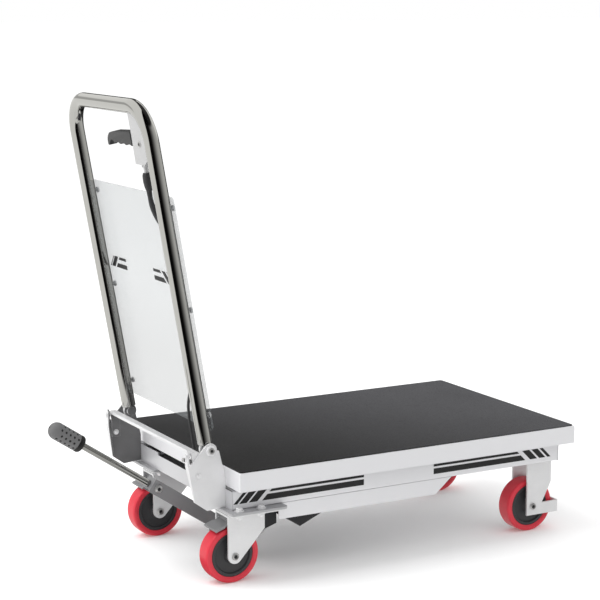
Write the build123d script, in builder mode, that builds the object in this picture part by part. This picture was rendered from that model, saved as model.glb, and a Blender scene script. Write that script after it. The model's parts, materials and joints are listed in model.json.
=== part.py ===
from build123d import *
import os
from math import acos, atan2, cos, degrees, hypot, radians, sin, tan

os.makedirs("parts", exist_ok=True)

# Scissor lift table cart: millimetres, X from the handle end to the front, Y to the left, Z up.
# The origin lies on the floor, in the middle of the cart's outline. The platform is down, the handle up.

# Clearances
running_fit = 0.05
seat_gap = 0.3
slide_gap = 0.5

# Platform
deck_length = 700.0
deck_width = 450.0
tray_height = 32.0
tray_sheet = 2.5
tray_edge_radius = 2.5
tray_corner_radius = 4.0
mat_thickness = 2.0
mat_inset = 3.0
mat_corner_radius = 5.0
track_wall = 2.0
track_flange = 30.0
track_side_inset = 29.0
track_end_inset = 18.0

# Base frame
base_gap = 4.0
rail_side_inset = 25.0
rail_height = 33.0
rail_wall = 3.0
rail_flange = 34.0
rail_bend_radius = 2.5
rail_front_inset = 22.0
cross_sheet = 3.0
cross_flange = 18.0
cross_rear_drop = 5.0
skirt_height = 28.0
skirt_rear_inset = 88.0
skirt_length = 320.0
skirt_nose = 33.0
bed_thickness = 5.0
bed_rear_inset = 98.0
bed_length = 84.0

# Wheels and casters
wheel_diameter = 100.0
wheel_width = 32.0
tyre_shoulder = 3.5
tyre_thickness = 11.0
hub_rim = 8.0
hub_rim_width = 29.0
hub_web_width = 21.0
hub_boss_diameter = 30.0
hub_taper = 2.0
hub_side_gap = 1.5
fork_sheet = 4.0
fork_width = 50.0
fork_end_radius = 13.0
axle_diameter = 10.0
axle_head_diameter = 13.0
axle_head_height = 4.0
caster_side_inset = 46.0
caster_rise = 32.0
rear_swivel_inset = 38.0
rear_trail = 24.0
rear_fork_length = 70.0
rear_fork_brow = 30.0
upper_race_height = 3.75
lower_race_height = 5.0
race_diameter = 56.0
king_pin_diameter = 16.0
king_nut_diameter = 26.0
king_nut_height = 6.0
ledge_thickness = 4.0
ledge_length = 108.0
ledge_width = 122.0
ledge_overhang = 22.0
ledge_rear_overhang = 11.0
ledge_corner_radius = 6.0
caster_head_thickness = 3.0
caster_head_inset = 3.0
plate_bolt_diameter = 8.0
plate_bolt_head = 13.0
plate_bolt_head_height = 5.5
plate_bolt_inset = 13.0
plate_bolt_first = 21.0
plate_bolt_pitch = 41.5
front_axle_inset = 60.0
front_fork_length = 54.0
front_plate_margin = 4.0
front_kink_drop = 41.0
front_toe = 21.0
strap_drop = 17.0
strap_height = 22.0
strap_sheet = 3.5
strap_front_gap = 5.5
brake_pin_diameter = 6.0
brake_hub_diameter = 12.0
brake_pin_drop = 7.0
brake_pin_back = 2.0
brake_sheet = 3.5
brake_reach = 34.0
brake_fall = 12.0
brake_tread_width = 46.0

# Scissor
arm_width = 28.0
arm_thickness = 8.0
arm_gap = 4.0
arm_side_inset = 42.0
arm_pin_diameter = 16.0
pin_head_diameter = 22.0
pin_head_height = 3.0
fixed_pivot_inset = 40.0
roller_rest_gap = 19.1
roller_diameter = 24.0
roller_width = 18.0
roller_side_inset = 19.0
roller_end_play = 2.0

# Hydraulic cylinder
cylinder_foot_inset = 208.9
cylinder_foot_drop = 39.9
cylinder_pin_diameter = 14.0
lug_from_centre = 50.4
lug_offset = 10.25
lug_radius = 14.0
barrel_diameter = 44.0
barrel_bore = 36.0
barrel_start = 24.0
barrel_cap = 10.0
barrel_end_gap = 42.0
barrel_eye_width = 40.0
rod_diameter = 24.0
piston_length = 15.0
piston_rest_gap = 4.0
eye_radius = 15.0
rod_eye_width = 20.0
rod_eye_play = 2.2
rod_eye_side_gap = 4.0
tie_tube_diameter = 26.0
ear_sheet = 6.0
ear_radius = 13.0
ear_gap = 4.0
ear_root_length = 28.0

# Pump and release valve
pump_rear_gap = 18.0
pump_length = 90.0
pump_width = 64.0
pump_side_gap = 26.0
pump_depth = 94.0
pump_foot_length = 52.0
pump_step_run = 15.0
pump_step_rise = 14.5
pump_front_rise = 22.0
plunger_diameter = 12.0
plunger_length = 36.0
plunger_stroke_room = 14.0
plunger_gap = 0.8
lobe_drop = 22.0
lobe_radius = 6.0
lobe_ear_radius = 7.5
lug_width = 20.0
tank_length = 125.0
tank_width = 66.0
tank_gap = 2.0
tank_shoulder_drop = 54.0
tank_low_drop = 77.0
tank_heel = 35.0
tank_front_drop = 39.0
tank_edge_radius = 3.0
valve_inset = 12.0
valve_drop = 16.0
valve_stem_diameter = 10.0
valve_boss_diameter = 18.0
valve_boss_length = 7.5
valve_arm_sheet = 4.0
valve_arm_length = 20.0
valve_hub_radius = 9.0
valve_tip_radius = 5.0

# Foot pedal
pedal_overhang = 270.0
pedal_side_inset = 24.0
pedal_pivot_inset = 42.0
pedal_pivot_drop = 60.8
pedal_angle = 34.2
pedal_channel_length = 157.0
pedal_channel_height = 25.0
pedal_channel_width = 30.0
pedal_sheet = 3.0
pedal_web_start = 8.0
pedal_pin_diameter = 10.0
pedal_plug_length = 26.0
pedal_bolt_inset = 13.0
pedal_bolt_diameter = 7.0
pedal_bolt_head = 12.0
pedal_bolt_head_height = 4.0
pedal_rod_diameter = 12.0
pedal_rod_overlap = 50.0
pedal_grip_diameter = 30.0
pedal_grip_length = 46.0
pedal_grip_end_wall = 12.0
pedal_collar_diameter = 27.0
pedal_collar_length = 6.0

# Handle and its cheeks
handle_lean = 10.0
handle_pivot_overhang = 31.0
handle_pivot_rise = 70.0
handle_tube_diameter = 25.0
handle_tube_wall = 2.0
handle_side_inset = 18.0
handle_length = 585.0
handle_bend_radius = 60.0
handle_tube_start = 9.5
leaf_thickness = 6.0
leaf_width = 19.5
leaf_radius = 12.0
leaf_length = 70.0
pivot_bolt_diameter = 10.0
pivot_head_diameter = 18.0
pivot_head_height = 5.0
pivot_shoulder_diameter = 16.0
pivot_nut_height = 5.0
cheek_sheet = 3.0
cheek_side_inset = 22.0
cheek_lobe_radius = 12.0
cheek_root_drop = 2.0
cheek_root_height = 49.0
cheek_foot_reach = 35.0
cheek_heel_reach = 58.0
cheek_heel_rise = 16.0
cheek_back_reach = 69.0
cheek_back_rise = 77.0
cheek_neck_ahead = 16.0
cheek_flange_width = 10.5
cheek_flange_tip = 1.5
cheek_tab_rise = 30.0
cheek_tab_chamfer = 4.0
tie_back = 34.0
tie_top = 0.0
tie_width = 12.0
tie_sheet = 3.0
tie_lip = 5.5
tie_tab_front = 15.0
tie_tab_width = 16.0
tie_tab_drop = 50.0
tie_tab_neck = 20.0
tie_bolt_diameter = 6.0
tie_bolt_head = 11.0
tie_bolt_head_height = 4.0
tie_bolt_rise = 9.0

# Handle panel
panel_thickness = 3.0
panel_edge_overhang = 12.5
panel_start = 30.0
panel_top_gap = 151.0
panel_corner = 8.0
panel_bolt_diameter = 6.0
panel_bolt_head = 10.0
panel_bolt_head_height = 3.0
panel_bolt_low = 25.0
panel_bolt_middle = 210.0
panel_bolt_high = 19.0

# Release lever and cable
bracket_depth = 16.0
bracket_slot = 11.0
bracket_height = 96.0
bracket_top_run = 1.0
bracket_waist_run = 0.5
bracket_waist_rise = 15.0
bracket_foot_run = 3.0
bracket_heel_run = 33.0
bracket_heel_rise = 16.0
bracket_back_wall = 14.0
bracket_floor = 11.0
lever_pivot_inset = 33.0
lever_pivot_drop = 61.0
lever_pin_diameter = 6.0
lever_depth = 10.0
lever_grip_depth = 15.0
lever_boss_radius = 11.0
lever_reach = 136.0
lever_grip_start = 34.0
lever_shoulder_rise = 18.0
lever_tip_rise = 12.0
lever_tip_chamfer = 6.0
lever_under = 6.0
lever_groove_count = 4
lever_groove_depth = 4.0
adjuster_inset = 43.0
adjuster_diameter = 8.0
adjuster_nut_diameter = 13.0
adjuster_nut_height = 5.0
adjuster_length = 15.0
boot_top_diameter = 16.5
boot_middle_diameter = 11.0
boot_end_diameter = 8.0
boot_length = 37.0
boot_drift = 4.0
cable_diameter = 5.0
cable_slot_width = 9.0
cable_slot_margin = 14.0
latch_back = 23.0
latch_drop = 21.0
latch_pin_diameter = 6.0
latch_boss_radius = 7.0
latch_nose_width = 5.0
latch_nose_gap = 0.6
latch_tail_back = 21.0
latch_tail_rise = 7.0
latch_tail_width = 6.0

# Heights, from the floor up
wheel_radius = wheel_diameter / 2
axle_z = wheel_radius
axle_radius = axle_diameter / 2
head_bottom = wheel_diameter + caster_rise
ledge_bottom = head_bottom + caster_head_thickness
rail_bottom = ledge_bottom + ledge_thickness
rail_top = rail_bottom + rail_height
rail_mid_z = (rail_top + rail_bottom) / 2
bed_bottom = rail_bottom - bed_thickness
tray_bottom = rail_top + base_gap
tray_top = tray_bottom + tray_height
deck_under = tray_top - tray_sheet

# Places across, from the deck's edges inwards
rail_face_y = deck_width / 2 - rail_side_inset
track_face_y = deck_width / 2 - track_side_inset
caster_y = rail_face_y - caster_side_inset
outer_arm_y = rail_face_y - arm_side_inset
roller_y = rail_face_y - roller_side_inset
cheek_face_y = rail_face_y - cheek_side_inset
handle_half_width = cheek_face_y - handle_side_inset
ledge_edge_y = rail_face_y + ledge_overhang
pump_side_y = pump_side_gap - (ledge_edge_y - ledge_width)
pedal_y = pump_side_y + pedal_side_inset

# The deck's place in X puts the middle of the whole outline at the origin
deck_x = pedal_overhang / 2
deck_rear_x = deck_x - deck_length / 2
deck_front_x = deck_x + deck_length / 2
rail_rear_x = deck_rear_x
rail_front_x = deck_front_x - rail_front_inset
frame_rear_x = rail_rear_x - cross_sheet
ledge_rear_x = frame_rear_x - ledge_rear_overhang
ledge_front_x = ledge_rear_x + ledge_length

# Scissor places with the platform down
roller_radius = roller_diameter / 2
arm_pin_radius = arm_pin_diameter / 2
arm_bore = arm_pin_radius + running_fit
lower_axis_z = rail_bottom + rail_wall + seat_gap + roller_radius
upper_axis_z = deck_under - track_wall - seat_gap - roller_radius
fixed_pivot_x = deck_rear_x + fixed_pivot_inset
arm_reach = rail_front_x - roller_rest_gap - fixed_pivot_x
arm_length = hypot(arm_reach, upper_axis_z - lower_axis_z)
arm_angle = atan2(upper_axis_z - lower_axis_z, arm_reach)
roller_x = fixed_pivot_x + arm_reach
centre_x = fixed_pivot_x + arm_reach / 2
centre_z = (lower_axis_z + upper_axis_z) / 2
outer_arm_inside_y = outer_arm_y - arm_thickness
inner_arm_y = outer_arm_inside_y - arm_gap
inner_arm_inside_y = inner_arm_y - arm_thickness
shaft_half = roller_y + roller_width / 2 + roller_end_play

# Cylinder places with the platform down
foot_x = deck_rear_x + cylinder_foot_inset
foot_z = rail_bottom - cylinder_foot_drop
lug_from_roller = arm_length / 2 - lug_from_centre
lug_x = roller_x - lug_from_roller * cos(arm_angle) + lug_offset * sin(arm_angle)
lug_z = lower_axis_z + lug_from_roller * sin(arm_angle) + lug_offset * cos(arm_angle)
cylinder_length = hypot(lug_x - foot_x, lug_z - foot_z)
cylinder_angle = atan2(lug_z - foot_z, lug_x - foot_x)
cylinder_direction = (cos(cylinder_angle), 0, sin(cylinder_angle))
foot_pin_radius = cylinder_pin_diameter / 2
ear_inside_y = barrel_diameter / 2 + ear_gap
ear_outside_y = ear_inside_y + ear_sheet

# Pedal places
pedal_pivot_x = deck_rear_x + pedal_pivot_inset
pedal_pivot_z = bed_bottom - pedal_pivot_drop
pedal_tilt = radians(pedal_angle)
pedal_direction = (-cos(pedal_tilt), 0, sin(pedal_tilt))
pedal_grip_radius = pedal_grip_diameter / 2
pedal_length = (pedal_overhang + pedal_pivot_inset - pedal_grip_radius) / cos(pedal_tilt)
pedal_low_y = pedal_y - pedal_channel_width / 2
pedal_high_y = pedal_y + pedal_channel_width / 2
pedal_half_height = pedal_channel_height / 2
pedal_inside_top = pedal_half_height - pedal_sheet
pedal_pin_radius = pedal_pin_diameter / 2
lobe_z = pedal_pivot_z - lobe_drop

# Handle places
handle_pivot_x = deck_rear_x - handle_pivot_overhang
handle_pivot_z = rail_top + handle_pivot_rise
lean = radians(handle_lean)
handle_up = (-sin(lean), 0, cos(lean))
handle_ahead = (cos(lean), 0, sin(lean))
handle_tube_radius = handle_tube_diameter / 2
bend_y = handle_bend_radius - handle_half_width
bend_s = handle_length - handle_bend_radius
cheek_inside_y = cheek_face_y - cheek_sheet
panel_end = handle_length - panel_top_gap
panel_bolt_rows = (panel_start + panel_bolt_low, panel_start + panel_bolt_middle,
                   panel_end - panel_bolt_high)
bracket_bottom = handle_length - bracket_height
lever_pivot_y = lever_pivot_inset - handle_half_width
lever_pivot_s = handle_length - lever_pivot_drop
adjuster_y = adjuster_inset - handle_half_width

sides = {"left": 1, "right": -1}


def side_plane(y):
    """Drawing plane square to Y, read in X and Z; extruding goes towards -Y."""
    return Plane.XZ.offset(-y)


def cross_plane(x):
    """Drawing plane square to X, read in Y and Z; extruding goes towards +X."""
    return Plane.YZ.offset(x)


def handle_point(y, along, ahead=0.0):
    """A place on the handle: across, up along it from the pivot, and ahead of its middle plane."""
    x = handle_pivot_x + along * handle_up[0] + ahead * handle_ahead[0]
    return (x, y, handle_pivot_z + along * handle_up[2] + ahead * handle_ahead[2])


def handle_plane(ahead=0.0):
    """Drawing plane of the handle, read across and along it; extruding goes towards the front."""
    return Plane(origin=handle_point(0, 0, ahead), x_dir=(0, 1, 0), z_dir=handle_ahead)


def pedal_plane(y):
    """Drawing plane along the pedal, read outwards from its pivot; extruding goes towards +Y."""
    return Plane(origin=(pedal_pivot_x, y, pedal_pivot_z), x_dir=pedal_direction, z_dir=(0, 1, 0))


def pedal_section(y, along):
    """Drawing plane square to the pedal, at a distance from its pivot; extruding goes outwards."""
    return Plane(origin=(pedal_pivot_x, y, pedal_pivot_z), z_dir=pedal_direction).offset(along)


def cylinder_plane():
    """Drawing plane along the hydraulic cylinder, read from its foot pin."""
    return Plane(origin=(foot_x, 0, foot_z), x_dir=cylinder_direction, z_dir=(0, -1, 0))


def outer_arm_plane(y):
    """Drawing plane of an outer arm, read from its base pin; extruding goes towards -Y."""
    direction = (cos(arm_angle), 0, sin(arm_angle))
    return Plane(origin=(fixed_pivot_x, y, lower_axis_z), x_dir=direction, z_dir=(0, -1, 0))


def inner_arm_plane(y):
    """Drawing plane of an inner arm, read from its roller end; extruding goes towards +Y."""
    direction = (-cos(arm_angle), 0, sin(arm_angle))
    return Plane(origin=(roller_x, y, lower_axis_z), x_dir=direction, z_dir=(0, 1, 0))


def bar_along_x(y, z, radius, low_x, high_x):
    """A round bar along X."""
    with BuildPart() as bar:
        with BuildSketch(cross_plane(low_x)):
            with Locations((y, z)):
                Circle(radius)
        extrude(amount=high_x - low_x)
    return bar.part


def bar_along_y(x, z, radius, low_y, high_y):
    """A round bar along Y."""
    with BuildPart() as bar:
        with BuildSketch(side_plane(high_y)):
            with Locations((x, z)):
                Circle(radius)
        extrude(amount=high_y - low_y)
    return bar.part


def post(x, y, radius, low_z, high_z):
    """A round bar along Z."""
    with BuildPart() as bar:
        with BuildSketch(Plane.XY.offset(low_z)):
            with Locations((x, y)):
                Circle(radius)
        extrude(amount=high_z - low_z)
    return bar.part


def block(low, high):
    """A box between two corners."""
    with BuildPart() as box:
        with BuildSketch(Plane.XY.offset(low[2])):
            with Locations(((low[0] + high[0]) / 2, (low[1] + high[1]) / 2)):
                Rectangle(high[0] - low[0], high[1] - low[1])
        extrude(amount=high[2] - low[2])
    return box.part


def side_plate(points, low_y, high_y):
    """A flat plate square to Y, cut to an outline in X and Z."""
    with BuildPart() as plate:
        with BuildSketch(side_plane(high_y)):
            with BuildLine():
                Polyline(*points, close=True)
            make_face()
        extrude(amount=high_y - low_y)
    return plate.part


def channel(face_y, flange, low_z, high_z, wall, rear_x, front_x):
    """A channel along X whose web is at face_y and which opens towards the middle of the cart."""
    side = 1 if face_y > 0 else -1
    middle_z = (low_z + high_z) / 2
    with BuildPart() as section:
        with BuildSketch(cross_plane(rear_x)):
            with Locations((face_y - side * flange / 2, middle_z)):
                Rectangle(flange, high_z - low_z)
            with Locations((face_y - side * (wall + flange / 2), middle_z)):
                Rectangle(flange, high_z - low_z - 2 * wall, mode=Mode.SUBTRACT)
        extrude(amount=front_x - rear_x)
    return section.part


def axle_bolt(x, y):
    """A wheel's axle: a shank through both fork legs, with a head and a nut."""
    reach = fork_width / 2
    with BuildPart() as bolt:
        add(bar_along_y(x, axle_z, axle_radius, y - reach, y + reach))
        for face_y in (y - reach - axle_head_height, y + reach):
            add(bar_along_y(x, axle_z, axle_head_diameter / 2, face_y, face_y + axle_head_height))
        ends = bolt.faces().filter_by(Axis.Y).sort_by(Axis.Y)
        fillet(ends[0].edges() + ends[-1].edges(), radius=axle_head_height / 3)
    return bolt.part


def handle_bar(radius):
    """A round bar bent to the handle's path."""
    with BuildPart() as bar:
        with BuildLine(handle_plane()) as path:
            FilletPolyline((-handle_half_width, handle_tube_start), (-handle_half_width, handle_length),
                           (handle_half_width, handle_length), (handle_half_width, handle_tube_start),
                           radius=handle_bend_radius)
        with BuildSketch(Plane(origin=handle_point(-handle_half_width, handle_tube_start), z_dir=handle_up)):
            Circle(radius)
        sweep(path=path.wires()[0])
    return bar.part


def cord(points, diameter):
    """A round cord along straight runs, joined by arcs as large as the runs allow."""
    places = [Vector(*point) for point in points]
    radii = []
    for before, corner, after in zip(places, places[1:], places[2:]):
        run_in = corner - before
        run_out = after - corner
        half_turn = radians(run_in.get_angle(run_out)) / 2
        radii.append(0.45 * min(run_in.length, run_out.length) / tan(half_turn))
    with BuildPart() as tube:
        with BuildLine() as path:
            FilletPolyline(*places, radius=radii)
        with BuildSketch(Plane(origin=places[0], z_dir=places[1] - places[0])):
            Circle(diameter / 2)
        sweep(path=path.wires()[0])
    print("cord radii", [round(radius, 1) for radius in radii])
    return tube.part


def tangent_point(outside, centre, radius, turn):
    """Where the line from a point outside touches a circle, on the side that turn names."""
    away = (outside[0] - centre[0], outside[1] - centre[1])
    spread = acos(radius / hypot(*away))
    angle = atan2(away[1], away[0]) + turn * spread
    return (centre[0] + radius * cos(angle), centre[1] + radius * sin(angle))


# Base rails: channels that open inwards, where the lower rollers run
for name, side in sides.items():
    with BuildPart() as base_rail:
        add(channel(side * rail_face_y, rail_flange, rail_bottom, rail_top, rail_wall,
                    rail_rear_x, rail_front_x))
        outer_edges = base_rail.edges().filter_by(Axis.X).group_by(Axis.Y)[-1 if side > 0 else 0]
        fillet(outer_edges, radius=rail_bend_radius)
    base_rail.part.label = f"base_rail_{name}"
    export_step(base_rail.part, f"parts/base_rail_{name}.step")

# Base cross plates: flanged plates that close the frame at both ends, clear of the caster ledges,
# the rear one lower in its middle
cross_half = ledge_edge_y - ledge_width - slide_gap
cross_rear_top = rail_top - cross_rear_drop
cross_ends = ((frame_rear_x, rail_rear_x, cross_rear_top), (rail_front_x, rail_front_x - cross_flange, rail_top))
with BuildPart() as base_cross_plates:
    for web_x, flange_x, top_z in cross_ends:
        add(block((web_x, -rail_face_y, rail_bottom), (web_x + cross_sheet, rail_face_y, rail_top)))
        for low_z in (rail_bottom, top_z - cross_sheet):
            add(block((flange_x, -cross_half, low_z),
                      (flange_x + cross_flange, cross_half, low_z + cross_sheet)))
    add(block((frame_rear_x, -cross_half, cross_rear_top), (rail_rear_x, cross_half, rail_top)), mode=Mode.SUBTRACT)
base_cross_plates.part.label = "base_cross_plates"
export_step(base_cross_plates.part, "parts/base_cross_plates.step")

# Base skirts: thin plates below the rails, notched round the ledge, with a slanted front end
skirt_rear_x = deck_rear_x + skirt_rear_inset
skirt_bottom = rail_bottom - skirt_height
skirt_notch_x = ledge_front_x + slide_gap
skirt_notch_z = head_bottom - slide_gap
skirt_outline = [
    (skirt_notch_x, rail_bottom),
    (skirt_notch_x, skirt_notch_z),
    (skirt_rear_x, skirt_notch_z),
    (skirt_rear_x, skirt_bottom),
    (skirt_rear_x + skirt_length, skirt_bottom),
    (skirt_rear_x + skirt_length + skirt_nose, rail_bottom),
]
with BuildPart() as base_skirts:
    add(side_plate(skirt_outline, rail_face_y - rail_wall, rail_face_y))
    mirror(about=Plane.XZ)
base_skirts.part.label = "base_skirts"
export_step(base_skirts.part, "parts/base_skirts.step")

# Pump bed: a cross plate under the rails, with two ears for the cylinder's foot pin
bed_rear_x = deck_rear_x + bed_rear_inset
bed_front_x = bed_rear_x + bed_length
bed_half_width = rail_face_y - rail_wall
ear_root_x = bed_front_x - ear_root_length
ear_rear = tangent_point((ear_root_x, bed_bottom), (foot_x, foot_z), ear_radius, 1)
ear_front = tangent_point((bed_front_x, bed_bottom), (foot_x, foot_z), ear_radius, -1)
with BuildPart() as pump_bed:
    add(block((bed_rear_x, -bed_half_width, bed_bottom), (bed_front_x, bed_half_width, rail_bottom)))
    with BuildSketch(side_plane(ear_outside_y)):
        with BuildLine():
            Polyline((ear_root_x, bed_bottom), ear_rear, (foot_x, foot_z), ear_front,
                     (bed_front_x, bed_bottom), close=True)
        make_face()
        with Locations((foot_x, foot_z)):
            Circle(ear_radius)
            Circle(foot_pin_radius + running_fit, mode=Mode.SUBTRACT)
    extrude(amount=ear_sheet)
    mirror(about=Plane.XZ)
pump_bed.part.label = "pump_bed"
export_step(pump_bed.part, "parts/pump_bed.step")

# Pump block, with the lug that carries the pedal, the plunger's bore and the valve's stem
pump_rear_x = pedal_pivot_x + pump_rear_gap
pump_front_x = pump_rear_x + pump_length
pump_high_y = pump_side_y + pump_width
pump_step_x = pump_rear_x + pump_foot_length
pump_floor_z = bed_bottom - pump_depth
pump_outline = [
    (pump_rear_x, bed_bottom),
    (pump_rear_x, pump_floor_z),
    (pump_step_x, pump_floor_z),
    (pump_step_x + pump_step_run, pump_floor_z + pump_step_rise),
    (pump_front_x, pump_floor_z + pump_front_rise),
    (pump_front_x, bed_bottom),
]
plunger_rear_x = pedal_pivot_x + lobe_radius + plunger_gap
plunger_front_x = plunger_rear_x + plunger_length
lug_half = pedal_inside_top - slide_gap
valve_x = pump_rear_x + valve_inset
valve_z = bed_bottom - valve_drop
valve_boss_y = pump_side_y - valve_boss_length
valve_arm_y = valve_boss_y - seat_gap
valve_stem_y = valve_arm_y - valve_arm_sheet - slide_gap
with BuildPart() as pump_block:
    add(side_plate(pump_outline, pump_side_y, pump_high_y))
    add(block((pedal_pivot_x, pedal_y - lug_width / 2, pedal_pivot_z - lug_half),
              (pump_rear_x, pedal_y + lug_width / 2, pedal_pivot_z + lug_half)))
    add(bar_along_y(pedal_pivot_x, pedal_pivot_z, lug_half,
                    pedal_y - lug_width / 2, pedal_y + lug_width / 2))
    add(bar_along_y(pedal_pivot_x, pedal_pivot_z, pedal_pin_radius, pedal_low_y, pedal_high_y))
    add(bar_along_x(pedal_y, lobe_z, plunger_diameter / 2 + running_fit, pump_rear_x,
                    plunger_front_x + plunger_stroke_room), mode=Mode.SUBTRACT)
    add(bar_along_y(valve_x, valve_z, valve_boss_diameter / 2, valve_boss_y, pump_side_y))
    add(bar_along_y(valve_x, valve_z, valve_stem_diameter / 2, valve_stem_y, valve_boss_y))
pump_block.part.label = "pump_block"
export_step(pump_block.part, "parts/pump_block.step")

# Pump plunger: a round bar in the block that the pedal's lobe pushes forwards
with BuildPart() as pump_plunger:
    add(bar_along_x(pedal_y, lobe_z, plunger_diameter / 2, plunger_rear_x, plunger_front_x))
pump_plunger.part.label = "pump_plunger"
export_step(pump_plunger.part, "parts/pump_plunger.step")

# Oil reservoir: a tank on the pump's front face, beside the cylinder's ears
tank_front_x = pump_front_x + tank_length
tank_high_y = -ear_outside_y - tank_gap
tank_outline = [
    (pump_front_x, bed_bottom),
    (pump_front_x, bed_bottom - tank_shoulder_drop),
    (pump_front_x + tank_heel, bed_bottom - tank_low_drop),
    (tank_front_x, bed_bottom - tank_front_drop),
    (tank_front_x, bed_bottom),
]
with BuildPart() as oil_reservoir:
    add(side_plate(tank_outline, tank_high_y - tank_width, tank_high_y))
    fillet(oil_reservoir.faces().sort_by(Axis.Y)[0].edges(), radius=tank_edge_radius)
oil_reservoir.part.label = "oil_reservoir"
export_step(oil_reservoir.part, "parts/oil_reservoir.step")

# Valve arm: stands up from the valve's stem, and the release cable pulls it
with BuildPart() as valve_arm:
    with BuildSketch(side_plane(valve_arm_y)):
        with Locations((valve_x, valve_z)):
            Circle(valve_hub_radius)
        with Locations((valve_x, valve_z + valve_arm_length)):
            Circle(valve_tip_radius)
        with Locations((valve_x, valve_z + valve_arm_length / 2)):
            Rectangle(2 * valve_tip_radius, valve_arm_length)
        with Locations((valve_x, valve_z)):
            Circle(valve_stem_diameter / 2 + running_fit, mode=Mode.SUBTRACT)
    extrude(amount=valve_arm_sheet)
valve_arm.part.label = "valve_arm"
export_step(valve_arm.part, "parts/valve_arm.step")

# Ledges under the rear ends of the rails, which the swivel casters are bolted to
ledge_middle = (ledge_rear_x + ledge_length / 2, ledge_edge_y - ledge_width / 2)
bolt_rows = (ledge_edge_y - plate_bolt_inset, ledge_edge_y - ledge_width + plate_bolt_inset)
bolt_columns = [ledge_rear_x + plate_bolt_first + n * plate_bolt_pitch for n in range(2)]
plate_bolts = [(x, y) for x in bolt_columns for y in bolt_rows]
with BuildPart() as rear_caster_ledges:
    with BuildSketch(Plane.XY.offset(ledge_bottom)):
        with Locations(ledge_middle):
            RectangleRounded(ledge_length, ledge_width, ledge_corner_radius)
        with Locations(*plate_bolts):
            Circle(plate_bolt_diameter / 2 + running_fit, mode=Mode.SUBTRACT)
    extrude(amount=ledge_thickness)
    mirror(about=Plane.XZ)
rear_caster_ledges.part.label = "rear_caster_ledges"
export_step(rear_caster_ledges.part, "parts/rear_caster_ledges.step")

# Caster heads: the plate, the upper race and the king pin that each swivel fork hangs on
swivel_x = deck_rear_x + rear_swivel_inset
rear_axle_x = swivel_x - rear_trail
upper_race_bottom = head_bottom - upper_race_height
lower_race_top = upper_race_bottom - slide_gap
crown_top = lower_race_top - lower_race_height
crown_bottom = crown_top - fork_sheet
king_nut_top = crown_bottom - slide_gap
king_nut_bottom = king_nut_top - king_nut_height
with BuildPart() as rear_caster_heads:
    with BuildSketch(Plane.XY.offset(head_bottom)):
        with Locations(ledge_middle):
            RectangleRounded(ledge_length - 2 * caster_head_inset, ledge_width - 2 * caster_head_inset,
                             ledge_corner_radius)
        with Locations(*plate_bolts):
            Circle(plate_bolt_diameter / 2 + running_fit, mode=Mode.SUBTRACT)
    extrude(amount=caster_head_thickness)
    add(post(swivel_x, caster_y, race_diameter / 2, upper_race_bottom, head_bottom))
    add(post(swivel_x, caster_y, king_pin_diameter / 2, king_nut_bottom, upper_race_bottom))
    add(post(swivel_x, caster_y, king_nut_diameter / 2, king_nut_bottom, king_nut_top))
    mirror(about=Plane.XZ)
rear_caster_heads.part.label = "rear_caster_heads"
export_step(rear_caster_heads.part, "parts/rear_caster_heads.step")

# Rear forks with the lower race, the king pin's bore and the brake's pin, and their axle bolts
fork_rear_x = rear_axle_x - fork_end_radius
fork_front_x = fork_rear_x + rear_fork_length
leg_brow = (fork_front_x, crown_top - rear_fork_brow)
leg_touch = tangent_point(leg_brow, (rear_axle_x, axle_z), fork_end_radius, -1)
brake_x = rear_axle_x - brake_pin_back
brake_z = crown_bottom - brake_pin_drop
fork_inside = fork_width / 2 - fork_sheet
for name, side in sides.items():
    middle_y = side * caster_y
    with BuildPart() as rear_fork:
        add(block((fork_rear_x, middle_y - fork_width / 2, crown_bottom),
                  (fork_front_x, middle_y + fork_width / 2, crown_top)))
        for leg_y in (middle_y + fork_width / 2, middle_y - fork_inside):
            with BuildSketch(side_plane(leg_y)):
                with BuildLine():
                    Polyline((fork_rear_x, axle_z), (fork_rear_x, crown_top), (fork_front_x, crown_top),
                             leg_brow, leg_touch)
                    ThreePointArc(leg_touch, (rear_axle_x, axle_z - fork_end_radius), (fork_rear_x, axle_z))
                make_face()
                with Locations((rear_axle_x, axle_z)):
                    Circle(axle_radius + running_fit, mode=Mode.SUBTRACT)
            extrude(amount=fork_sheet)
        add(post(swivel_x, middle_y, race_diameter / 2, crown_top, lower_race_top))
        add(post(swivel_x, middle_y, king_pin_diameter / 2 + running_fit, crown_bottom, lower_race_top),
            mode=Mode.SUBTRACT)
        add(bar_along_y(brake_x, brake_z, brake_pin_diameter / 2,
                        middle_y - fork_inside, middle_y + fork_inside))
    rear_fork.part.label = f"rear_fork_{name}"
    export_step(rear_fork.part, f"parts/rear_fork_{name}.step")
    with BuildPart() as rear_axle_bolt:
        add(axle_bolt(rear_axle_x, middle_y))
    rear_axle_bolt.part.label = f"rear_axle_bolt_{name}"
    export_step(rear_axle_bolt.part, f"parts/rear_axle_bolt_{name}.step")

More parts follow.
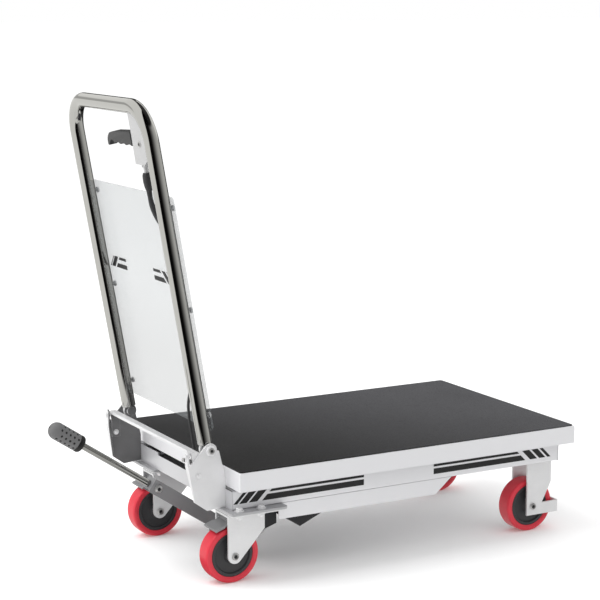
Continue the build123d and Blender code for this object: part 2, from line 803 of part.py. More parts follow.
# Brake pedals: a hub on the fork's pin and a tread that stands out behind the fork
brake_half = fork_inside - slide_gap
brake_tilt = atan2(brake_fall, brake_reach)
brake_direction = (-cos(brake_tilt), 0, -sin(brake_tilt))
tread_start = fork_end_radius - brake_pin_back + 2 * brake_sheet
tread_end = hypot(brake_reach, brake_fall)
for name, side in sides.items():
    middle_y = side * caster_y
    tread_plane = Plane(origin=(brake_x, middle_y, brake_z), x_dir=brake_direction, z_dir=(0, 1, 0))
    with BuildPart() as brake_pedal:
        add(bar_along_y(brake_x, brake_z, brake_hub_diameter / 2,
                        middle_y - brake_half, middle_y + brake_half))
        with BuildSketch(tread_plane):
            with Locations((tread_end / 2, -brake_sheet / 2)):
                Rectangle(tread_end, brake_sheet)
        extrude(amount=brake_half, both=True)
        with BuildSketch(tread_plane):
            with Locations(((tread_start + tread_end) / 2, -brake_sheet / 2)):
                Rectangle(tread_end - tread_start, brake_sheet)
        extrude(amount=brake_tread_width / 2, both=True)
        add(bar_along_y(brake_x, brake_z, brake_pin_diameter / 2 + running_fit,
                        middle_y - brake_half, middle_y + brake_half), mode=Mode.SUBTRACT)
    brake_pedal.part.label = f"brake_pedal_{name}"
    export_step(brake_pedal.part, f"parts/brake_pedal_{name}.step")

# Front forks: two legs under a top plate, and a strap round the front of the wheel
front_axle_x = deck_front_x - front_axle_inset
front_rear_x = front_axle_x - fork_end_radius
front_top_x = front_rear_x + front_fork_length
strap_bottom = axle_z - strap_drop
strap_top = strap_bottom + strap_height
strap_front_x = front_axle_x + wheel_radius + strap_front_gap + strap_sheet
front_leg = [
    (front_rear_x, ledge_bottom),
    (front_rear_x, strap_bottom),
    (front_axle_x + front_toe, strap_bottom),
    (front_axle_x + front_toe, strap_top),
    (front_top_x, ledge_bottom - front_kink_drop),
    (front_top_x, ledge_bottom),
]
for name, side in sides.items():
    middle_y = side * caster_y
    low_y = middle_y - fork_width / 2
    high_y = middle_y + fork_width / 2
    with BuildPart() as front_fork:
        add(block((front_rear_x - front_plate_margin, low_y - front_plate_margin, ledge_bottom),
                  (front_top_x + front_plate_margin, high_y + front_plate_margin, rail_bottom)))
        add(side_plate(front_leg, high_y - fork_sheet, high_y))
        add(side_plate(front_leg, low_y, low_y + fork_sheet))
        with BuildSketch(Plane.XY.offset(strap_bottom)):
            with Locations(((front_axle_x + strap_front_x) / 2, middle_y)):
                Rectangle(strap_front_x - front_axle_x, fork_width)
            with Locations(((front_axle_x + strap_front_x) / 2 - strap_sheet, middle_y)):
                Rectangle(strap_front_x - front_axle_x, 2 * fork_inside, mode=Mode.SUBTRACT)
        extrude(amount=strap_height)
        strap_corners = front_fork.edges().filter_by(Axis.Z).group_by(Axis.X)[-1]
        fillet(strap_corners, radius=fork_sheet - slide_gap)
        add(bar_along_y(front_axle_x, axle_z, axle_radius + running_fit, low_y, high_y), mode=Mode.SUBTRACT)
    front_fork.part.label = f"front_fork_{name}"
    export_step(front_fork.part, f"parts/front_fork_{name}.step")

# Wheels: a hub that turns on its axle bolt, and a tyre round it
hub_radius = wheel_radius - tyre_thickness
tyre_bore = hub_radius + running_fit
boss_half = fork_inside - hub_side_gap
hub_bore = axle_radius + running_fit
hub_half_section = [
    (0, hub_bore),
    (boss_half, hub_bore),
    (boss_half, hub_boss_diameter / 2),
    (hub_web_width / 2, hub_boss_diameter / 2 + hub_taper),
    (hub_web_width / 2, hub_radius - hub_rim),
    (hub_rim_width / 2, hub_radius - hub_rim + hub_taper),
    (hub_rim_width / 2, hub_radius),
    (0, hub_radius),
]
for end, axle_x in (("rear", rear_axle_x), ("front", front_axle_x)):
    for name, side in sides.items():
        axle_middle = (axle_x, side * caster_y, axle_z)
        wheel_plane = Plane(origin=axle_middle, x_dir=(0, 1, 0), z_dir=(1, 0, 0))
        with BuildPart() as tyre:
            with BuildSketch(wheel_plane) as tread:
                with Locations((0, (wheel_radius + tyre_bore) / 2)):
                    Rectangle(wheel_width, wheel_radius - tyre_bore)
                fillet(tread.vertices().group_by(Axis.Y)[-1], radius=tyre_shoulder)
            revolve(axis=Axis(axle_middle, (0, 1, 0)))
        tyre.part.label = f"tyre_{end}_{name}"
        export_step(tyre.part, f"parts/tyre_{end}_{name}.step")
        with BuildPart() as hub:
            with BuildSketch(wheel_plane):
                with BuildLine():
                    Polyline(*hub_half_section, close=True)
                make_face()
                mirror(about=Plane.YZ)
            revolve(axis=Axis(axle_middle, (0, 1, 0)))
        hub.part.label = f"hub_{end}_{name}"
        export_step(hub.part, f"parts/hub_{end}_{name}.step")

# Base pivot pins: two pins that the outer arms turn on, and the cylinder's foot pin
with BuildPart() as base_pivot_pins:
    add(bar_along_y(fixed_pivot_x, lower_axis_z, arm_pin_radius, outer_arm_inside_y - running_fit,
                    rail_face_y - rail_wall))
    mirror(about=Plane.XZ)
    foot_pin_half = ear_outside_y + running_fit
    add(bar_along_y(foot_x, foot_z, foot_pin_radius, -foot_pin_half, foot_pin_half))
base_pivot_pins.part.label = "base_pivot_pins"
export_step(base_pivot_pins.part, "parts/base_pivot_pins.step")

# Outer arms, with the bores of the base pin, the centre pin and the upper roller shaft
with BuildPart() as outer_arms:
    with BuildSketch(outer_arm_plane(outer_arm_y)):
        with Locations((arm_length / 2, 0)):
            SlotCenterToCenter(arm_length, arm_width)
        with Locations((0, 0), (arm_length / 2, 0), (arm_length, 0)):
            Circle(arm_bore, mode=Mode.SUBTRACT)
    extrude(amount=arm_thickness)
    mirror(about=Plane.XZ)
outer_arms.part.label = "outer_arms"
export_step(outer_arms.part, "parts/outer_arms.step")

# Inner arms, with the bores of the lower roller shaft, the centre pin, the platform pin and the tie bar
with BuildPart() as inner_arms:
    with BuildSketch(inner_arm_plane(inner_arm_inside_y)):
        with Locations((arm_length / 2, 0)):
            SlotCenterToCenter(arm_length, arm_width)
        with Locations((lug_from_roller, lug_offset)):
            Circle(lug_radius)
        with Locations((0, 0), (arm_length / 2, 0), (arm_length, 0), (lug_from_roller, lug_offset)):
            Circle(arm_bore, mode=Mode.SUBTRACT)
    extrude(amount=arm_thickness)
    mirror(about=Plane.XZ)
inner_arms.part.label = "inner_arms"
export_step(inner_arms.part, "parts/inner_arms.step")

# Roller shafts across the free ends of the arms, and the rollers on them
for name, axis_z in (("upper", upper_axis_z), ("lower", lower_axis_z)):
    with BuildPart() as roller_shaft:
        add(bar_along_y(roller_x, axis_z, arm_pin_radius, -shaft_half, shaft_half))
    roller_shaft.part.label = f"{name}_roller_shaft"
    export_step(roller_shaft.part, f"parts/{name}_roller_shaft.step")
    with BuildPart() as rollers:
        with BuildSketch(side_plane(roller_y + roller_width / 2)):
            with Locations((roller_x, axis_z)):
                Circle(roller_radius)
                Circle(arm_bore, mode=Mode.SUBTRACT)
        extrude(amount=roller_width)
        mirror(about=Plane.XZ)
    rollers.part.label = f"{name}_rollers"
    export_step(rollers.part, f"parts/{name}_rollers.step")

# Centre pins, which join each outer arm to its inner arm
with BuildPart() as arm_centre_pins:
    add(bar_along_y(centre_x, centre_z, arm_pin_radius, inner_arm_inside_y - slide_gap, outer_arm_y))
    add(bar_along_y(centre_x, centre_z, pin_head_diameter / 2, outer_arm_y, outer_arm_y + pin_head_height))
    add(bar_along_y(centre_x, centre_z, pin_head_diameter / 2,
                    inner_arm_inside_y - slide_gap - pin_head_height, inner_arm_inside_y - slide_gap))
    mirror(about=Plane.XZ)
arm_centre_pins.part.label = "arm_centre_pins"
export_step(arm_centre_pins.part, "parts/arm_centre_pins.step")

# Inner tie bar: a tube between the inner arms, necked in the middle where the cylinder's rod takes hold
tie_neck_half = rod_eye_width / 2 + rod_eye_side_gap
with BuildPart() as inner_tie_bar:
    add(bar_along_y(lug_x, lug_z, foot_pin_radius, 0, tie_neck_half))
    add(bar_along_y(lug_x, lug_z, tie_tube_diameter / 2, tie_neck_half, inner_arm_inside_y))
    add(bar_along_y(lug_x, lug_z, arm_pin_radius, inner_arm_inside_y, inner_arm_y))
    mirror(about=Plane.XZ)
inner_tie_bar.part.label = "inner_tie_bar"
export_step(inner_tie_bar.part, "parts/inner_tie_bar.step")

# Cylinder barrel: a bored tube with a gland at its mouth and an eye on the foot pin
barrel_end = cylinder_length - barrel_end_gap
barrel_floor = barrel_start + barrel_cap
gland_start = barrel_end - barrel_cap
cylinder_axis = Axis((foot_x, 0, foot_z), cylinder_direction)
barrel_section = [
    (barrel_start, 0),
    (barrel_start, barrel_diameter / 2),
    (barrel_end, barrel_diameter / 2),
    (barrel_end, rod_diameter / 2 + running_fit),
    (gland_start, rod_diameter / 2 + running_fit),
    (gland_start, barrel_bore / 2),
    (barrel_floor, barrel_bore / 2),
    (barrel_floor, 0),
]
with BuildPart() as cylinder_barrel:
    with BuildSketch(cylinder_plane()):
        with BuildLine():
            Polyline(*barrel_section, close=True)
        make_face()
    revolve(axis=cylinder_axis)
    with BuildSketch(cylinder_plane()):
        Circle(eye_radius)
        with Locations((barrel_start / 2, 0)):
            Rectangle(barrel_start, 2 * eye_radius)
        Circle(foot_pin_radius + running_fit, mode=Mode.SUBTRACT)
    extrude(amount=barrel_eye_width / 2, both=True)
cylinder_barrel.part.label = "cylinder_barrel"
export_step(cylinder_barrel.part, "parts/cylinder_barrel.step")

# Cylinder rod with its piston, and an eye round the neck of the tie bar
piston_start = barrel_floor + piston_rest_gap
rod_section = [
    (piston_start, 0),
    (piston_start, barrel_bore / 2 - running_fit),
    (piston_start + piston_length, barrel_bore / 2 - running_fit),
    (piston_start + piston_length, rod_diameter / 2),
    (cylinder_length, rod_diameter / 2),
    (cylinder_length, 0),
]
with BuildPart() as cylinder_rod:
    with BuildSketch(cylinder_plane()):
        with BuildLine():
            Polyline(*rod_section, close=True)
        make_face()
    revolve(axis=cylinder_axis)
    add(bar_along_y(lug_x, lug_z, eye_radius, -rod_eye_width / 2, rod_eye_width / 2))
    add(bar_along_y(lug_x, lug_z, foot_pin_radius + rod_eye_play, -barrel_diameter, barrel_diameter),
        mode=Mode.SUBTRACT)
    for side in sides.values():
        eye_face = side * rod_eye_width / 2
        add(bar_along_y(lug_x, lug_z, 2 * eye_radius, min(eye_face, side * barrel_diameter),
                        max(eye_face, side * barrel_diameter)), mode=Mode.SUBTRACT)
cylinder_rod.part.label = "cylinder_rod"
export_step(cylinder_rod.part, "parts/cylinder_rod.step")

# Platform tray: a shallow upside-down pan of sheet
with BuildPart() as platform_tray:
    with BuildSketch(Plane.XY.offset(tray_bottom)):
        with Locations((deck_x, 0)):
            RectangleRounded(deck_length, deck_width, tray_corner_radius)
    extrude(amount=tray_height)
    fillet(platform_tray.faces().sort_by(Axis.Z)[-1].edges(), radius=tray_edge_radius)
    add(block((deck_rear_x + tray_sheet, tray_sheet - deck_width / 2, tray_bottom),
              (deck_front_x - tray_sheet, deck_width / 2 - tray_sheet, deck_under)), mode=Mode.SUBTRACT)
platform_tray.part.label = "platform_tray"
export_step(platform_tray.part, "parts/platform_tray.step")

# Deck mat
with BuildPart() as platform_mat:
    with BuildSketch(Plane.XY.offset(tray_top)):
        with Locations((deck_x, 0)):
            RectangleRounded(deck_length - 2 * mat_inset, deck_width - 2 * mat_inset, mat_corner_radius)
    extrude(amount=mat_thickness)
platform_mat.part.label = "platform_mat"
export_step(platform_mat.part, "parts/platform_mat.step")

# Platform tracks: channels under the tray, where the upper rollers run
with BuildPart() as platform_tracks:
    add(channel(track_face_y, track_flange, tray_bottom, deck_under, track_wall,
                deck_rear_x + track_end_inset, deck_front_x - track_end_inset))
    mirror(about=Plane.XZ)
platform_tracks.part.label = "platform_tracks"
export_step(platform_tracks.part, "parts/platform_tracks.step")

# Platform pivot pins, which the inner arms carry the platform by
with BuildPart() as platform_pivot_pins:
    add(bar_along_y(fixed_pivot_x, upper_axis_z, arm_pin_radius, inner_arm_inside_y - running_fit,
                    track_face_y - track_wall))
    mirror(about=Plane.XZ)
platform_pivot_pins.part.label = "platform_pivot_pins"
export_step(platform_pivot_pins.part, "parts/platform_pivot_pins.step")

# Pedal channel: two walls and a web, with ears that carry the lobe under the pivot
lobe_along = -lobe_drop * sin(pedal_tilt)
lobe_across = -lobe_drop * cos(pedal_tilt)
plug_start = pedal_channel_length - pedal_plug_length
pedal_bolt_along = pedal_channel_length - pedal_bolt_inset
pedal_rod_radius = pedal_rod_diameter / 2
with BuildPart() as pedal_channel:
    for wall_y in (pedal_low_y, pedal_high_y - pedal_sheet):
        with BuildSketch(pedal_plane(wall_y)):
            Circle(pedal_half_height)
            with Locations((pedal_channel_length / 2, 0)):
                Rectangle(pedal_channel_length, pedal_channel_height)
            with Locations((lobe_along / 2, lobe_across / 2)):
                SlotCenterToCenter(lobe_drop, 2 * lobe_ear_radius,
                                   rotation=degrees(atan2(lobe_across, lobe_along)))
            Circle(pedal_pin_radius + running_fit, mode=Mode.SUBTRACT)
        extrude(amount=pedal_sheet)
    with BuildSketch(pedal_plane(pedal_low_y)):
        with Locations(((pedal_web_start + pedal_channel_length) / 2, pedal_half_height - pedal_sheet / 2)):
            Rectangle(pedal_channel_length - pedal_web_start, pedal_sheet)
        with Locations(((plug_start + pedal_channel_length) / 2, 0)):
            Rectangle(pedal_plug_length, 2 * pedal_inside_top)
        with Locations((lobe_along, lobe_across)):
            Circle(lobe_radius)
    extrude(amount=pedal_channel_width)
    with BuildSketch(pedal_section(pedal_y, plug_start)):
        Circle(pedal_rod_radius + running_fit)
    extrude(amount=pedal_plug_length, mode=Mode.SUBTRACT)
    with BuildSketch(pedal_plane(pedal_low_y - pedal_bolt_head_height)):
        with Locations((pedal_bolt_along, 0)):
            Circle(pedal_bolt_diameter / 2)
    extrude(amount=pedal_channel_width + 2 * pedal_bolt_head_height)
    for head_y in (pedal_low_y - pedal_bolt_head_height, pedal_high_y):
        with BuildSketch(pedal_plane(head_y)):
            with Locations((pedal_bolt_along, 0)):
                RegularPolygon(pedal_bolt_head / 2, 6)
        extrude(amount=pedal_bolt_head_height)
pedal_channel.part.label = "pedal_channel"
export_step(pedal_channel.part, "parts/pedal_channel.step")

# Pedal rod, held in the channel's plug by the cross bolt
rod_start = pedal_channel_length - pedal_rod_overlap
rod_end = pedal_length - pedal_grip_end_wall
with BuildPart() as pedal_rod:
    with BuildSketch(pedal_section(pedal_y, rod_start)):
        Circle(pedal_rod_radius)
    extrude(amount=rod_end - rod_start)
    with BuildSketch(pedal_plane(pedal_low_y)):
        with Locations((pedal_bolt_along, 0)):
            Circle(pedal_bolt_diameter / 2 + running_fit)
    extrude(amount=pedal_channel_width, mode=Mode.SUBTRACT)
pedal_rod.part.label = "pedal_rod"
export_step(pedal_rod.part, "parts/pedal_rod.step")

# Pedal grip: a sleeve with a collar and a round end
grip_start = pedal_length - pedal_grip_length
collar_start = grip_start - pedal_collar_length
grip_bore = pedal_rod_radius + running_fit
half_diagonal = pedal_grip_radius * cos(radians(45))
with BuildPart() as pedal_grip:
    with BuildSketch(pedal_plane(pedal_y)):
        with BuildLine():
            Polyline((pedal_length + pedal_grip_radius, 0), (rod_end, 0), (rod_end, grip_bore),
                     (collar_start, grip_bore), (collar_start, pedal_collar_diameter / 2),
                     (grip_start, pedal_collar_diameter / 2), (grip_start, pedal_grip_radius),
                     (pedal_length, pedal_grip_radius))
            ThreePointArc((pedal_length, pedal_grip_radius), (pedal_length + half_diagonal, half_diagonal),
                          (pedal_length + pedal_grip_radius, 0))
        make_face()
    revolve(axis=Axis((pedal_pivot_x, pedal_y, pedal_pivot_z), pedal_direction))
pedal_grip.part.label = "pedal_grip"
export_step(pedal_grip.part, "parts/pedal_grip.step")

# Handle cheeks: plates behind the frame that carry the handle's pivot, with a flange folded in at the rear edge
heel_x = frame_rear_x - cheek_heel_reach
heel_z = rail_bottom + cheek_heel_rise
back_x = frame_rear_x - cheek_back_reach
back_z = rail_bottom + cheek_back_rise
cheek_tab_top = back_z + cheek_tab_rise
flange_edge_y = cheek_inside_y - cheek_flange_width
cheek_outline = [
    (frame_rear_x, rail_bottom + cheek_root_drop),
    (frame_rear_x - cheek_foot_reach, rail_bottom - cheek_root_drop / 2),
    (heel_x, heel_z),
    (back_x, back_z),
    tangent_point((back_x, back_z), (handle_pivot_x, handle_pivot_z), cheek_lobe_radius, -1),
    (handle_pivot_x, handle_pivot_z),
    (handle_pivot_x + cheek_neck_ahead, handle_pivot_z - cheek_root_drop),
    (frame_rear_x, rail_bottom + cheek_root_drop + cheek_root_height),
]
flange_outline = [
    (heel_x, heel_z),
    (back_x, back_z),
    (back_x, cheek_tab_top),
    (back_x + cheek_sheet, cheek_tab_top),
    (back_x + cheek_sheet, back_z),
    (heel_x + cheek_sheet, heel_z),
]
flange_face = [
    (cheek_inside_y, heel_z),
    (cheek_inside_y, cheek_tab_top - cheek_tab_chamfer),
    (cheek_inside_y - cheek_tab_chamfer, cheek_tab_top),
    (flange_edge_y + cheek_tab_chamfer, cheek_tab_top),
    (flange_edge_y, cheek_tab_top - cheek_tab_chamfer),
    (flange_edge_y, back_z),
    (cheek_inside_y - cheek_flange_tip, heel_z),
]
tie_bolt_x = handle_pivot_x - tie_tab_front - tie_tab_width / 2
tie_bolt_z = handle_pivot_z - tie_tab_drop + tie_bolt_rise
for name, side in sides.items():
    inner_y = min(side * cheek_inside_y, side * cheek_face_y)
    flange_y = min(side * cheek_inside_y, side * flange_edge_y)
    with BuildPart() as cheek_flange:
        add(side_plate(flange_outline, flange_y, flange_y + cheek_flange_width))
        with BuildSketch(cross_plane(back_x)):
            with BuildLine():
                Polyline(*[(side * y, z) for y, z in flange_face], close=True)
            make_face()
        extrude(amount=cheek_back_reach, both=True, mode=Mode.INTERSECT)
    with BuildPart() as handle_cheek:
        add(side_plate(cheek_outline, inner_y, inner_y + cheek_sheet))
        add(cheek_flange.part)
        add(bar_along_y(handle_pivot_x, handle_pivot_z, cheek_lobe_radius, inner_y, inner_y + cheek_sheet))
        add(bar_along_y(handle_pivot_x, handle_pivot_z, pivot_bolt_diameter / 2 + running_fit,
                        inner_y, inner_y + cheek_sheet), mode=Mode.SUBTRACT)
        add(bar_along_y(tie_bolt_x, tie_bolt_z, tie_bolt_diameter / 2 + running_fit,
                        inner_y, inner_y + cheek_sheet), mode=Mode.SUBTRACT)
    handle_cheek.part.label = f"handle_cheek_{name}"
    export_step(handle_cheek.part, f"parts/handle_cheek_{name}.step")

# Cheek tie bar: a strip with a folded lip and an end tab on each cheek, and the latch's pin on the right tab
tie_rear_x = handle_pivot_x - tie_back
tie_top_z = handle_pivot_z + tie_top
tab_front_x = handle_pivot_x - tie_tab_front
tab_rear_x = tab_front_x - tie_tab_width
tab_outline = [
    (tie_rear_x, tie_top_z),
    (tie_rear_x, tie_top_z - tie_lip),
    (tab_rear_x, handle_pivot_z - tie_tab_neck),
    (tab_rear_x, handle_pivot_z - tie_tab_drop),
    (tab_front_x, handle_pivot_z - tie_tab_drop),
    (tab_front_x, handle_pivot_z - tie_tab_neck),
    (tie_rear_x + tie_width, tie_top_z),
]
latch_x = handle_pivot_x - latch_back
latch_z = handle_pivot_z - latch_drop
leaf_outer_y = handle_half_width + leaf_thickness / 2
leaf_inner_y = handle_half_width - leaf_thickness / 2
tab_inner_y = cheek_inside_y - tie_sheet
with BuildPart() as cheek_tie_bar:
    for width, depth in ((tie_width, tie_sheet), (tie_sheet, tie_lip)):
        add(block((tie_rear_x, -cheek_inside_y, tie_top_z - depth),
                  (tie_rear_x + width, cheek_inside_y, tie_top_z)))
    for side in sides.values():
        low_y = min(side * tab_inner_y, side * cheek_inside_y)
        add(side_plate(tab_outline, low_y, low_y + tie_sheet))
        add(bar_along_y(tie_bolt_x, tie_bolt_z, tie_bolt_diameter / 2 + running_fit,
                        low_y, low_y + tie_sheet),
            mode=Mode.SUBTRACT)
    add(bar_along_y(latch_x, latch_z, latch_pin_diameter / 2, -tab_inner_y, -leaf_inner_y))
cheek_tie_bar.part.label = "cheek_tie_bar"
export_step(cheek_tie_bar.part, "parts/cheek_tie_bar.step")

# Handle pivot bolts: head outside the cheek, a shoulder between cheek and leaf, and a nut inside the leaf
pivot_radius = pivot_bolt_diameter / 2
shoulder_end_y = leaf_outer_y + slide_gap
nut_outer_y = leaf_inner_y - slide_gap
pivot_steps = [
    (pivot_head_diameter / 2, cheek_face_y, cheek_face_y + pivot_head_height),
    (pivot_radius, nut_outer_y, cheek_face_y),
    (pivot_shoulder_diameter / 2, shoulder_end_y, cheek_inside_y),
    (pivot_shoulder_diameter / 2, nut_outer_y - pivot_nut_height, nut_outer_y),
]
with BuildPart() as handle_pivot_bolts:
    for radius, low_y, high_y in pivot_steps:
        add(bar_along_y(handle_pivot_x, handle_pivot_z, radius, low_y, high_y))
    fillet(handle_pivot_bolts.faces().sort_by(Axis.Y)[-1].edges(), radius=pivot_head_height / 3)
    mirror(about=Plane.XZ)
handle_pivot_bolts.part.label = "handle_pivot_bolts"
export_step(handle_pivot_bolts.part, "parts/handle_pivot_bolts.step")

# Latch pawl: a nose towards the leaf's round end, and a thumb tail behind
latch_span = hypot(latch_back, latch_drop)
latch_angle = degrees(atan2(latch_drop, latch_back))
nose_length = latch_span - leaf_radius - latch_nose_gap
tail_length = hypot(latch_tail_back, latch_tail_rise)
tail_angle = degrees(atan2(latch_tail_rise, -latch_tail_back))
with BuildPart() as latch_pawl:
    with BuildSketch(side_plane(-leaf_inner_y)):
        with Locations((latch_x, latch_z)):
            Circle(latch_boss_radius)
            with Locations(Location((0, 0, 0), (0, 0, latch_angle))):
                with Locations((nose_length / 2, 0)):
                    Rectangle(nose_length, latch_nose_width)
            with Locations(Location((0, 0, 0), (0, 0, tail_angle))):
                with Locations((tail_length / 2, 0)):
                    SlotOverall(tail_length, latch_tail_width)
            Circle(latch_pin_diameter / 2 + running_fit, mode=Mode.SUBTRACT)
    extrude(amount=leaf_thickness)
latch_pawl.part.label = "latch_pawl"
export_step(latch_pawl.part, "parts/latch_pawl.step")

# Base fasteners: front axle bolts, the bolts of the swivel casters and the bolts of the tie bar
with BuildPart() as base_fasteners:
    add(axle_bolt(front_axle_x, caster_y))
    for x, y in plate_bolts:
        add(post(x, y, plate_bolt_diameter / 2, head_bottom, rail_bottom))
        for low_z in (head_bottom - plate_bolt_head_height, rail_bottom):
            with BuildSketch(Plane.XY.offset(low_z)):
                with Locations((x, y)):
                    RegularPolygon(plate_bolt_head / 2, 6)
            extrude(amount=plate_bolt_head_height)
    add(bar_along_y(tie_bolt_x, tie_bolt_z, tie_bolt_diameter / 2, tab_inner_y, cheek_face_y))
    for low_y in (tab_inner_y - tie_bolt_head_height, cheek_face_y):
        add(bar_along_y(tie_bolt_x, tie_bolt_z, tie_bolt_head / 2, low_y, low_y + tie_bolt_head_height))
    mirror(about=Plane.XZ)
base_fasteners.part.label = "base_fasteners"
export_step(base_fasteners.part, "parts/base_fasteners.step")

# Places of the release cable on the handle, across and along it
cable_boot_end = bracket_bottom - adjuster_length - boot_length
cable_y = adjuster_y + boot_drift
cable_upper_route = [
    (cable_y, cable_boot_end),
    (cable_y - 2, cable_boot_end - 20),
    (cable_y - 13, cable_boot_end - 40),
    (cable_y - 32, cable_boot_end - 53),
    (-handle_half_width + 3, cable_boot_end - 68),
    (-handle_half_width, cable_boot_end - 96),
    (-handle_half_width, leaf_length + 80),
    (-handle_half_width + 3, leaf_length + 58),
    (-handle_half_width + 11, leaf_length + 40),
    (-handle_half_width + 22, leaf_length + 28),
]
cable_entry_s = cable_boot_end - 54
cable_exit_s = leaf_length + 38

# Handle tube, bent over the top, with slots where the cable goes in and out and holes for the panel's bolts
with BuildPart() as handle_tube:
    add(handle_bar(handle_tube_radius))
    add(handle_bar(handle_tube_radius - handle_tube_wall), mode=Mode.SUBTRACT)
    with BuildSketch(handle_plane(-cable_slot_width / 2)):
        for slot_s in (cable_entry_s, cable_exit_s):
            with Locations((-handle_half_width + handle_tube_radius / 2, slot_s)):
                Rectangle(handle_tube_radius + handle_tube_wall, 2 * cable_slot_margin)
    extrude(amount=cable_slot_width, mode=Mode.SUBTRACT)
    with BuildSketch(handle_plane()):
        for side in sides.values():
            with Locations(*[(side * handle_half_width, row) for row in panel_bolt_rows]):
                Circle(panel_bolt_diameter / 2 + running_fit)
    extrude(amount=handle_tube_radius, mode=Mode.SUBTRACT)
handle_tube.part.label = "handle_tube"
export_step(handle_tube.part, "parts/handle_tube.step")

# Handle leaves: flat bars in the tube's lower ends, with a round end on the pivot bolt
with BuildPart() as handle_leaves:
    with BuildSketch(Plane(origin=handle_point(leaf_outer_y, 0), x_dir=handle_up, z_dir=(0, -1, 0))):
        Circle(leaf_radius)
        with Locations((leaf_length / 2, 0)):
            Rectangle(leaf_length, leaf_width)
        Circle(pivot_radius + running_fit, mode=Mode.SUBTRACT)
    extrude(amount=leaf_thickness)
    mirror(about=Plane.XZ)
handle_leaves.part.label = "handle_leaves"
export_step(handle_leaves.part, "parts/handle_leaves.step")

# Handle panel: a clear sheet on the front of the tubes
panel_back = handle_tube_radius + running_fit
panel_front = panel_back + panel_thickness
panel_bolts_at = [(side * handle_half_width, row) for side in sides.values() for row in panel_bolt_rows]
with BuildPart() as handle_panel:
    with BuildSketch(handle_plane(panel_back)):
        with Locations((0, (panel_start + panel_end) / 2)):
            RectangleRounded(2 * (handle_half_width + panel_edge_overhang), panel_end - panel_start,
                             panel_corner)
        with Locations(*panel_bolts_at):
            Circle(panel_bolt_diameter / 2 + running_fit, mode=Mode.SUBTRACT)
    extrude(amount=panel_thickness)
handle_panel.part.label = "handle_panel"
export_step(handle_panel.part, "parts/handle_panel.step")

# Panel bolts, whose shanks end in the tube's wall
bolt_tip = handle_tube_radius - handle_tube_wall
with BuildPart() as panel_bolts:
    with BuildSketch(handle_plane(bolt_tip)):
        with Locations(*panel_bolts_at):
            Circle(panel_bolt_diameter / 2)
    extrude(amount=panel_front - bolt_tip)
    with BuildSketch(handle_plane(panel_front)):
        with Locations(*panel_bolts_at):
            Circle(panel_bolt_head / 2)
    extrude(amount=panel_bolt_head_height)
panel_bolts.part.label = "panel_bolts"
export_step(panel_bolts.part, "parts/panel_bolts.step")

# Lever bracket: fills the handle's bend, with a slot for the lever, the lever's pin and the cable's adjuster
with BuildPart() as lever_bracket:
    with BuildSketch(handle_plane()):
        with BuildLine():
            Polyline((bend_y, handle_length), (bend_y + bracket_top_run, handle_length),
                     (bend_y + bracket_waist_run, lever_pivot_s + bracket_waist_rise),
                     (bend_y + bracket_foot_run, bracket_bottom),
                     (bend_y - bracket_heel_run, bracket_bottom),
                     (-handle_half_width, bracket_bottom + bracket_heel_rise), (-handle_half_width, bend_s))
            RadiusArc((-handle_half_width, bend_s), (bend_y, handle_length), handle_bend_radius)
        make_face()
    extrude(amount=bracket_depth / 2, both=True)
    add(handle_bar(handle_tube_radius + running_fit), mode=Mode.SUBTRACT)
    with BuildSketch(handle_plane()):
        with BuildLine():
            slot_back = lever_pivot_y - bracket_back_wall
            slot_floor = bracket_bottom + bracket_floor
            Polyline((slot_back, slot_floor), (lever_pivot_y + lever_reach, slot_floor),
                     (lever_pivot_y + lever_reach, handle_length), (slot_back, handle_length), close=True)
        make_face()
    extrude(amount=bracket_slot / 2, both=True, mode=Mode.SUBTRACT)
    with BuildSketch(handle_plane()):
        with Locations((lever_pivot_y, lever_pivot_s)):
            Circle(lever_pin_diameter / 2)
    extrude(amount=bracket_depth / 2, both=True)
    adjuster_foot = handle_point(adjuster_y, bracket_bottom - adjuster_length)
    with BuildSketch(Plane(origin=adjuster_foot, z_dir=handle_up)):
        Circle(adjuster_diameter / 2)
    extrude(amount=adjuster_length)
    nut_foot = handle_point(adjuster_y, bracket_bottom - adjuster_nut_height)
    with BuildSketch(Plane(origin=nut_foot, z_dir=handle_up)):
        RegularPolygon(adjuster_nut_diameter / 2, 6)
    extrude(amount=adjuster_nut_height)
lever_bracket.part.label = "lever_bracket"
export_step(lever_bracket.part, "parts/lever_bracket.step")

# Release lever: a narrow neck in the bracket's slot and a wider grip with finger grooves below
neck_end = lever_grip_start + slide_gap
groove_start = lever_reach - lever_tip_chamfer
groove_width = (groove_start - lever_grip_start) / lever_groove_count
lever_plane = Plane(origin=handle_point(lever_pivot_y, lever_pivot_s), x_dir=(0, 1, 0), z_dir=handle_ahead)
with BuildPart() as release_lever:
    with BuildSketch(lever_plane):
        Circle(lever_boss_radius)
        with BuildLine():
            Polyline((0, lever_boss_radius), (lever_grip_start - lever_boss_radius, lever_shoulder_rise),
                     (neck_end, lever_shoulder_rise), (neck_end, -lever_under),
                     (0, -lever_boss_radius), close=True)
        make_face()
        Circle(lever_pin_diameter / 2 + running_fit, mode=Mode.SUBTRACT)
    extrude(amount=lever_depth / 2, both=True)
    with BuildSketch(lever_plane):
        with BuildLine():
            Polyline((lever_grip_start, -lever_under), (lever_grip_start, lever_shoulder_rise),
                     (groove_start, lever_tip_rise), (lever_reach, lever_tip_rise - lever_tip_chamfer),
                     (lever_reach, 0), (groove_start, -lever_under))
            for n in range(lever_groove_count):
                right = groove_start - n * groove_width
                left = right - groove_width
                ThreePointArc((right, -lever_under), ((left + right) / 2, lever_groove_depth - lever_under),
                              (left, -lever_under))
        make_face()
    extrude(amount=lever_grip_depth / 2, both=True)
release_lever.part.label = "release_lever"
export_step(release_lever.part, "parts/release_lever.step")

